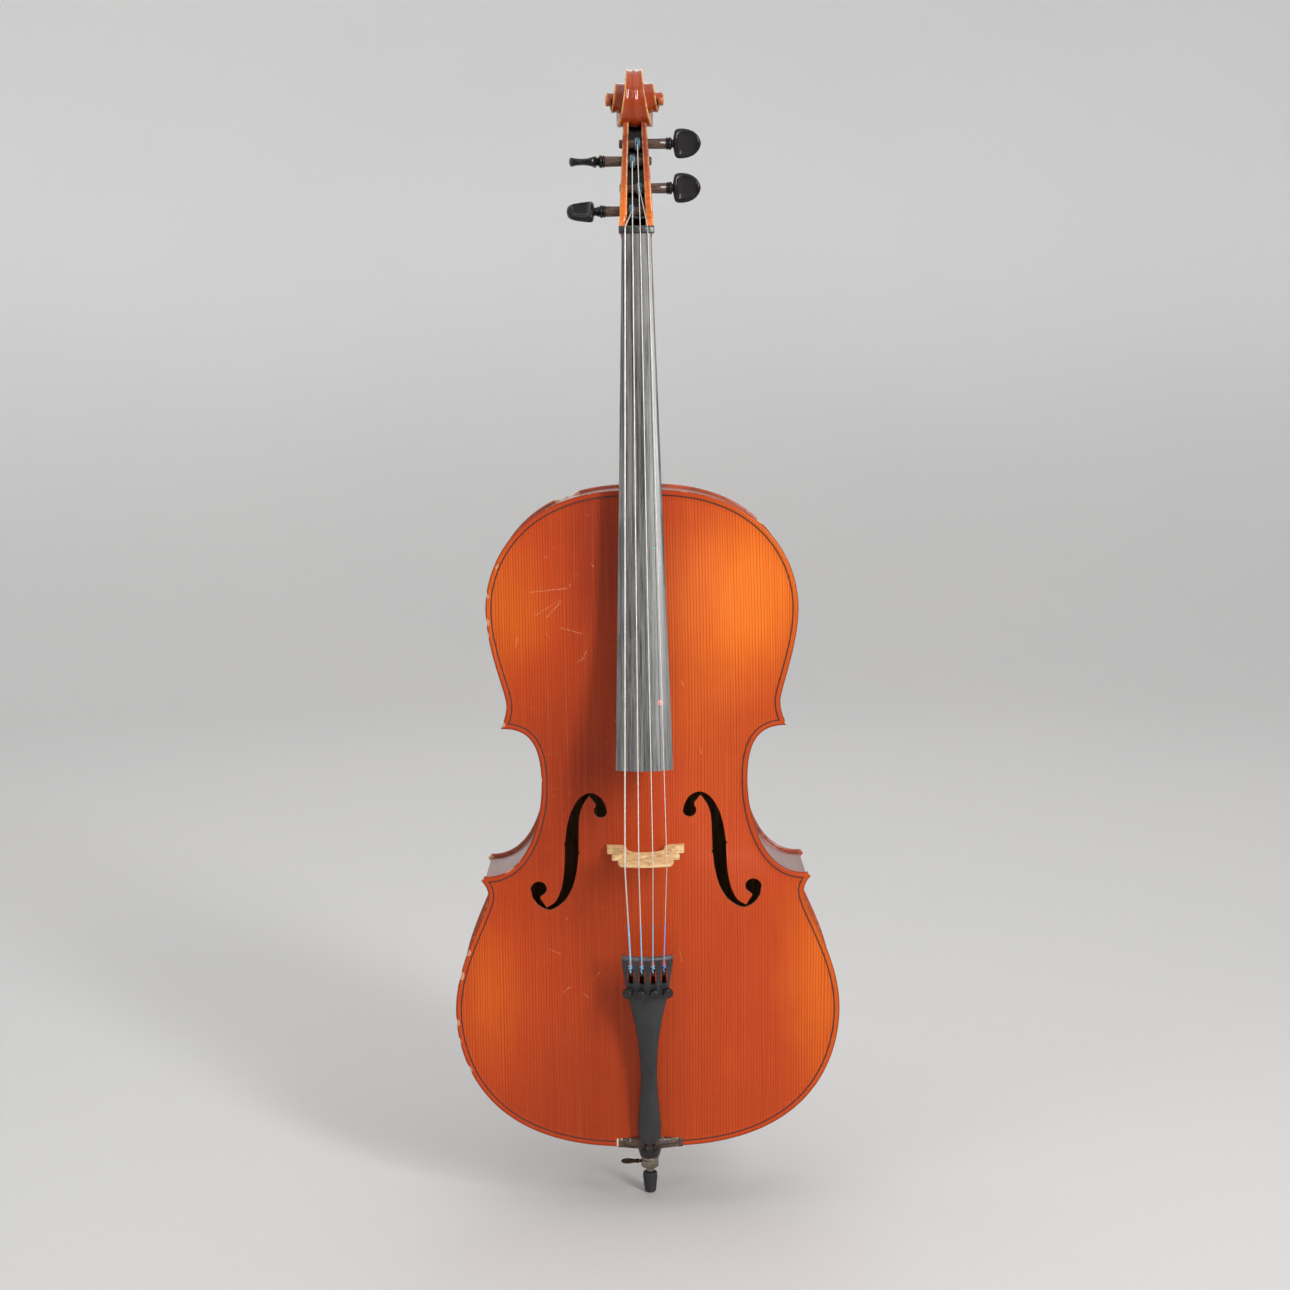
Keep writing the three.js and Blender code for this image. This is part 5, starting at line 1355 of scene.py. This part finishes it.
def tuner_knob():
    """A fluted knob from (radius, height, depth of the flutes)."""
    turn = around(72)
    rings = []
    for radius, height, flute in KNOB_PROFILE:
        r = radius - 0.28 * flute * (0.5 + 0.5 * np.cos(turn * 18))
        rings.append(np.stack([r * np.cos(turn), r * np.sin(turn), np.full(72, height)], 1))
    return loft(rings)


def build_tuners():
    tail_normal = np.array([0, -1, -TAIL_SLOPE]) / math.hypot(1, TAIL_SLOPE)
    knob = tuner_knob()
    screw = lathe([(1.45 - 0.3 * (i % 2), -10.0 + 0.32 * i) for i in range(39)], 20)
    collar = lathe([(1.9, -0.6), (3.9, -0.4), (3.9, 0.7), (3.2, 1.4), (1.9, 1.5)], 32)
    for name, x in TUNER_X.items():
        lean = math.atan(x / 55)
        normal = tail_normal * math.cos(lean) + np.array([math.sin(lean), 0, 0])
        place = (x, float(tail_top(x, TUNER_Z)), TUNER_Z)
        for kind, part, metal_used, angle in (("knob", knob, TUNER_BLACK, 40),
                                              ("screw", screw, SCREW_STEEL, 60)):
            node = f"tuner_{kind}_{name}"
            dressed(node, turned_to(normal, place, part), metal_used, "tuner_metal", body=f"{node}_body",
                    angle=angle)
        make(f"tuner_collar_{name}", *turned_to(normal, place, collar), TUNER_BLACK, "tuner_metal", angle=40)
        repainted(f"tuner_lever_{name}", TUNER_BLACK)


# ---- Strings ----
STRING_RADIUS = {"C": 0.8, "G": 0.6, "D": 0.5, "A": 0.4}
WIND_X = {"C": -5.0, "G": -3.5, "D": 2.5, "A": 4.0}
WINDING_RADIUS, WINDING_CREST, TURNS_ON_PEG = 5.5, 7.4, 4.2
# Where the silk starts, as a part of the way from the bridge to the tailpiece, and how thick it is.
SILK_START, SILK_THICKNESS = 0.62, 0.16
NUT_EDGES = (1041.4, 1036)
BRIDGE_REST = 1.4
BALL_DROP = 2.6


def peg_axis(name):
    low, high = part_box(f"string_winding_{name}")
    return (low.y + high.y) / 2 / MM, (low.z + high.z) / 2 / MM - LIFT


def wound_turns(name, wrap):
    """Turns that cross over each other on the peg and end in a loose tail."""
    peg_y, peg_z = peg_axis(name)
    radius = WINDING_RADIUS + wrap

    def spot(x, a, r):
        return (x, peg_y - r * math.cos(a), peg_z + r * math.sin(a))
    last = 2 * math.pi * TURNS_ON_PEG
    turns = []
    for a in np.linspace(0, last, 170):
        turns.append(spot(WIND_X[name] + (3 - wrap) * math.sin(a * 0.42), a, radius))
    tail = [turns[-1]]
    for k in (0.4, 0.7, 1.0):
        tail.append(spot(turns[-1][0] - 1.6 * k, last + 1.5 * k, radius + 0.45 * k))
    return combined(tube(turns, wrap, 10), tube(spline(tail, 6), wrap * 0.45, 8))


def build_string(name, radius):
    peg_y, peg_z = peg_axis(name)
    nut_y = board_top(NUT_X[name], NUT_Z) - NUT_RISE - radius * 0.4
    over, slot = BRIDGE_X[name], SLOT_X[name]
    crown = bridge_crown(over) - radius * 0.5
    wind = (WIND_X[name], peg_y - WINDING_CREST - radius - 0.25, peg_z - 1)
    top = np.array((over, crown, BRIDGE_Z - BRIDGE_REST))
    speaking = [wind, *[(NUT_X[name], nut_y, z) for z in NUT_EDGES], (over, crown, BRIDGE_Z + BRIDGE_REST),
                top]
    ridge_y = float(tail_top(slot, RIDGE_Z)) - 0.3 - radius
    ridge = np.array((slot, ridge_y, RIDGE_Z + 0.6))
    mark = top + (ridge - top) * SILK_START
    bars = [tube([a, b], radius) for a, b in zip(speaking, speaking[1:])]
    dressed(f"string_{name}", combined(*bars, tube([top, mark], radius)), STRING_METAL, "string_steel",
            angle=60)
    wrap = radius + SILK_THICKNESS
    ball_z = PIVOT_Z - BALL_DROP
    ball_y = float(tail_top(slot, ball_z)) + 0.8
    bend = spline([mark + (top - mark) * 0.02, mark + (ridge - mark) * 0.5, ridge, (slot, ridge_y + 0.9, 241),
                   (slot, ball_y - 0.4, ball_z + 6), (slot, ball_y, ball_z)], 6)
    # the silk is wound into a knot just under the top edge, with its end folded back
    knot = spline([(slot + 2.0 * math.cos(a), ball_y - 1.6 - 0.8 * math.sin(a), ball_z + 10.4 - 0.42 * a)
                   for a in np.arange(0, 3.5 * math.pi, math.pi / 4)], 2)
    end = spline([knot[-1], (slot - 1.2, ball_y - 1.4, ball_z + 4.6),
                  (slot + 0.5, ball_y - 1.3, ball_z + 3.0)], 4)
    silk = combined(tube(bend, wrap), tube(knot, wrap * 0.75, 8), tube(end, wrap * 0.7, 8))
    make(f"string_silk_{name}", *silk, SILK_VIOLET if name == "A" else SILK_BLUE, "string_silk", angle=60)
    side = [(0.6, 2.1), (1.9, 2.1), (2.2, 1.6), (1.7, 0.9)]
    ball = lathe([(r, -x) for r, x in side] + side[::-1], 24, "x", (slot, ball_y, ball_z))
    make(f"string_ball_{name}", *ball, TUNER_BLACK, "string_steel")
    make(f"string_turns_{name}", *wound_turns(name, wrap), SILK_DARK, "string_silk", body=f"peg_{name}_body",
         replaces=[f"string_winding_{name}"], angle=60)


# ---- Pegs ----
PEGS = {"C": (-1, 77.0, 0.9), "G": (-1, 73.5, 1.5), "D": (1, 73.0, 0.15), "A": (1, 72.0, 0.1)}
PEG_TIP, PEG_COLLAR = -17.0, 34.5


def shaft_radius(x):
    return 4.9 + 1.2 * (x - PEG_TIP) / (PEG_COLLAR - PEG_TIP)


PEG_COLLAR_RINGS = ((5.6, -0.4), (6.9, 0.1), (7.2, 0.9), (6.7, 1.7), (6.2, 2.3), (6.9, 3.0), (7.3, 3.9),
                    (7.0, 4.9), (6.0, 5.7))
# Along the head: distance from its root, half height and half thickness.
PEG_HEAD = ([0, 0.8, 1.8, 3.2, 6, 11, 17, 22.5, 26.5, 29, 30.4, 31],
            [4.4, 9.5, 13.4, 15.4, 16.3, 16.4, 15.4, 13.2, 10, 6.6, 3.6, 0.6],
            [4.4, 6.3, 6.8, 6.8, 6.0, 4.7, 4.3, 4.7, 5.3, 5.2, 4.0, 0.6])
PEG_HEAD_LENGTH = 31


def peg_shaft(start):
    """The shaft and collar up to the head's root, with its profile."""
    end_radius = shaft_radius(PEG_TIP)
    profile = [(0.3, PEG_TIP - 1), (end_radius - 1.2, PEG_TIP - 1), (end_radius - 0.3, PEG_TIP - 0.5),
               (end_radius, PEG_TIP + 0.3), (shaft_radius(10), 10),
               (shaft_radius(PEG_COLLAR - 1), PEG_COLLAR - 1)]
    profile += [(radius, PEG_COLLAR + x) for radius, x in PEG_COLLAR_RINGS]
    profile += [(4.7, start - 1.2), (4.4, start), (4.6, start + 3), (0.3, start + 3.4)]
    return lathe(profile, 36, "x"), [float(x > PEG_COLLAR - 0.5) for _, x in profile for _ in range(36)]


def peg_head(start, sides=48):
    """The flat head, dished on both faces, and which of its points lie on a face."""
    turn = around(sides)
    c, s = np.cos(turn), np.sin(turn)
    v = np.sign(s) * np.abs(s) ** 0.85
    rings, faced = [], []
    for dx in np.concatenate([np.linspace(0, 3, 7), np.linspace(4, 29, 26), [29.6, 30.2, 30.7, 31]]):
        tall, thick = (float(np.interp(dx, PEG_HEAD[0], row)) for row in PEG_HEAD[1:])
        deep = np.clip((dx - 4.5) / 3, 0, 1) * np.clip((26.5 - dx) / 3, 0, 1)
        dish = 1 - 0.34 * np.clip(1 - (v / 0.74) ** 4, 0, 1) * deep
        u = np.sign(c) * np.abs(c) ** 0.55 * dish
        rings.append(np.stack([np.full(sides, start + dx), thick * u, tall * v], 1))
        faced += list(((np.abs(v) < 0.7) & (5.5 < dx < 26)).astype(float))
    return loft(rings), faced


def build_pegs():
    for name, (side, end, turn) in PEGS.items():
        start = end - PEG_HEAD_LENGTH
        shaft, beyond = peg_shaft(start)
        head, faced = peg_head(start)
        button = lathe([(0.2, end - 0.4), (1.7, end - 0.5), (1.6, end + 0.1), (0.9, end + 0.5),
                        (0.2, end + 0.6)], 20, "x")
        points, faces = combined(shaft, head, button)
        rest = [0.0] * len(button[0])
        marks = {"head": beyond + [1.0] * (len(points) - len(beyond)),
                 "face": [0.0] * len(beyond) + faced + rest}
        points[:, 0] = np.minimum(points[:, 0], end)
        c, s = math.cos(turn), math.sin(turn)
        spin = np.array([[1, 0, 0], [0, c, -s], [0, s, c]])
        points = points @ spin.T * [side, side, 1] + [0, *peg_axis(name)]
        dressed(f"peg_{name}", (points, faces), PEG_WOOD, "peg_wood", body=f"peg_{name}_body", angle=45,
                marks=marks)


# ---- Endpin ----
BORE = 5.3
PLUG_PROFILE = [(BORE, 42), (12, 42), (13, 3.2), (15.4, 3.2), (16, 2.6), (16, -2.4), (15.6, -3.4),
                (14.4, -4.8), (11.4, -6.2), (10.6, -7.4), (10.5, -9), (10.6, -10.8), (11.6, -11.9),
                (14.4, -13), (15.3, -14.2), (15.5, -16.4), (15.2, -18.5), (13.6, -25.5), (11.6, -32.2),
                (11, -33), (BORE, -33)]
COLLAR_PROFILE = [(BORE, -33.3), (9.4, -33.3), (10.1, -33.9), (10.3, -34.5), (10.3, -36.6), (9.9, -36.9),
                  (9.9, -37.3), (10.3, -37.6), (10.3, -41.6), (9.9, -41.9), (9.9, -42.3), (10.3, -42.6),
                  (10.3, -44.9), (9.8, -45.6), (9.2, -46), (BORE, -46)]
THUMB_Z = -39.5
# Along the thumbscrew: x, half height, half thickness.
THUMBSCREW = ((-5.8, 1.9, 1.9), (-10, 1.9, 1.9), (-12.6, 1.9, 1.9), (-13.4, 2.7, 2.7), (-14.6, 2.8, 2.8),
              (-15.6, 2.2, 2.1), (-17.5, 2.2, 1.9), (-20, 2.5, 1.8), (-23, 3.1, 1.75), (-27, 3.4, 1.7),
              (-30, 3.1, 1.6), (-32, 2.4, 1.5), (-33.4, 1.5, 1.2), (-34, 0.4, 0.4))


def thumbscrew():
    """A short shaft that ends in a flat spoon with a dished face."""
    turn = around(28)
    rings = []
    for x, tall, thick in THUMBSCREW:
        deep = max(0, 1 - abs(x + 26) / 7)
        dish = 1 - 0.35 * deep * np.clip(1 - (np.sin(turn) / 0.7) ** 2, 0, 1)
        rings.append(np.stack([np.full(28, float(x)), thick * np.cos(turn) * dish,
                               THUMB_Z + tall * np.sin(turn)], 1))
    return loft(rings)


def build_endpin():
    dressed("endpin_plug", pierced(PLUG_PROFILE, 48), PLUG_WOOD, "peg_wood", angle=40)
    dressed("endpin_collar", pierced(COLLAR_PROFILE, 56), COLLAR_STEEL, "endpin_steel", angle=40)
    make("thumbscrew_dressed", *thumbscrew(), THUMB_METAL, "thumbscrew_metal", body="thumbscrew_body",
         replaces=["endpin_thumbscrew"], angle=45)
    low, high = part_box("endpin_rod")
    bottom, upper = low.z / MM - LIFT, high.z / MM - LIFT
    rod = [(0.3, bottom), (1.6, bottom + 0.2), (2.2, bottom + 1), (4.9, bottom + 7), (5, bottom + 7.6),
           (5, upper - 0.8), (4.3, upper), (0.3, upper)]
    dressed("endpin_rod", lathe(rod, 40), ROD_STEEL, "endpin_steel", body="endpin_rod_body", angle=40)
    base, rim = -77.0, -52.5
    tip = [(0.4, base + 0.25), (3.0, base), (4.9, base), (6.0, base + 0.7), (6.7, base + 2.0),
           (7.5, base + 9), (8.05, -61.6), (8.3, -61), (8.4, -60), (8.4, -54.4), (8.2, -53.2), (7.5, rim),
           (6.0, rim), (5.4, rim - 0.8), (5.35, bottom - 0.6), (0.4, bottom - 0.6)]
    dressed("rubber_tip", lathe(tip, 48), RUBBER, "rubber", body="rubber_tip_body", angle=40)


def build_tail_cord():
    half = [(5, -74, 7.4), (5, -72.2, 2), (5.4, -68.5, -2.9), (7, -60, -4.6), (10, -35, -7),
            (12.4, -14, -8.6), (12.6, 0, -9), (8.9, 8.9, -9)]
    path = half + [(0, 12.6, -9)] + [(-x, y, z) for x, y, z in half[::-1]]
    dressed("tail_cord", tube(spline(path, 7), 1.5, 16), TAIL_CORD, "tail_cord", angle=60)


def dress_inside():
    """Carried-over CAD nodes that show only through the f-holes."""
    for name in ("bottom_block", "top_block", "bass_bar", "sound_post"):
        repainted(name, BARE_SPRUCE)


# ---- Stage ----
def studio_paper():
    """Pale paper, faintly clouded, with painted light that makes it a little lighter up the wall."""
    s = Shader("studio_paper", roughness=0.85, specular=0.2)
    cloud = s.noise(0.8, 3)
    fleck = s.noise(60, 3)
    # painted light: the paper brightens with height, up to 1.6 m up the wall
    height = s.ramp(s.axes["Z"], 0.0, 1.6)
    colour = s.mix(height, rgb(202, 201, 200), rgb(231, 231, 231))
    colour = s.tint(colour, cloud, 0.3, 0.7, 0.4, s.mix(height, rgb(197, 197, 197), rgb(226, 226, 227)))
    return s.finish(colour, s.ramp(fleck, 0.3, 0.7, 0.8, 0.9))


# Sizes of the stage and places of the lights are in metres.
STAGE_REACH, STAGE_COVE, STAGE_TOP, STAGE_SIDES = 6.0, 2.2, 5.5, 96
WORLD_STRENGTH = 0.99
LIGHTS = (
    # name, place, aim, width, height, watts, spread in degrees
    ("key", (1.75, -2.55, 1.95), (0, 0, 0.75), 0.55, 1.9, 25.5, 100),
    ("fill", (-2.7, -2.4, 2.2), (0, 0, 0.6), 1.6, 1.8, 14, 180),
    ("top", (0.0, -1.0, 4.2), (0, 0, 0.6), 2.4, 2.4, 10, 180),
    ("back", (0.4, 3.4, 3.2), (0, 0, 0.8), 2.2, 1.6, 16, 180),
)


def build_backdrop():
    """A round floor that curves up into a wall, so that no edge shows from any side."""
    straight = STAGE_REACH - STAGE_COVE
    profile = [(0.01, 0.0), (1, 0), (2.5, 0), (straight, 0)]
    for a in np.linspace(0, math.pi / 2, 16)[1:]:
        profile.append((straight + STAGE_COVE * math.sin(a), STAGE_COVE - STAGE_COVE * math.cos(a)))
    points, faces = lathe(profile + [(STAGE_REACH, 3.5), (STAGE_REACH, STAGE_TOP)], STAGE_SIDES)
    mesh = bpy.data.meshes.new("studio")
    mesh.from_pydata(points.tolist(), [], faces[:-1])
    mesh.materials.append(studio_paper())
    mesh.polygons.foreach_set("use_smooth", [True] * len(mesh.polygons))
    linked("studio", mesh)


def build_lights():
    world = bpy.data.worlds.new("world")
    world.use_nodes = True
    background = world.node_tree.nodes["Background"]
    background.inputs["Color"].default_value = (1, 1, 1, 1)
    background.inputs["Strength"].default_value = WORLD_STRENGTH
    bpy.context.scene.world = world
    for name, place, aim, width, height, watts, spread in LIGHTS:
        data = bpy.data.lights.new(name, "AREA")
        data.shape = "RECTANGLE"
        data.size, data.size_y, data.energy = width, height, watts
        data.spread = math.radians(spread)
        lamp = linked(name, data)
        lamp.location = place
        lamp.rotation_euler = (Vector(aim) - Vector(place)).to_track_quat("-Z", "Y").to_euler()
        lamp.visible_camera = False


build_backdrop()
build_lights()
build_plates()
build_ribs()
build_neck()
build_pegbox()
build_scroll()
build_fingerboard()
build_nut()
build_saddle()
build_bridge()
build_tailpiece()
build_tuners()
for string, gauge in STRING_RADIUS.items():
    build_string(string, gauge)
build_pegs()
build_endpin()
build_tail_cord()
dress_inside()

scene = bpy.context.scene
scene.view_settings.view_transform = "Standard"
scene.view_settings.look = "None"
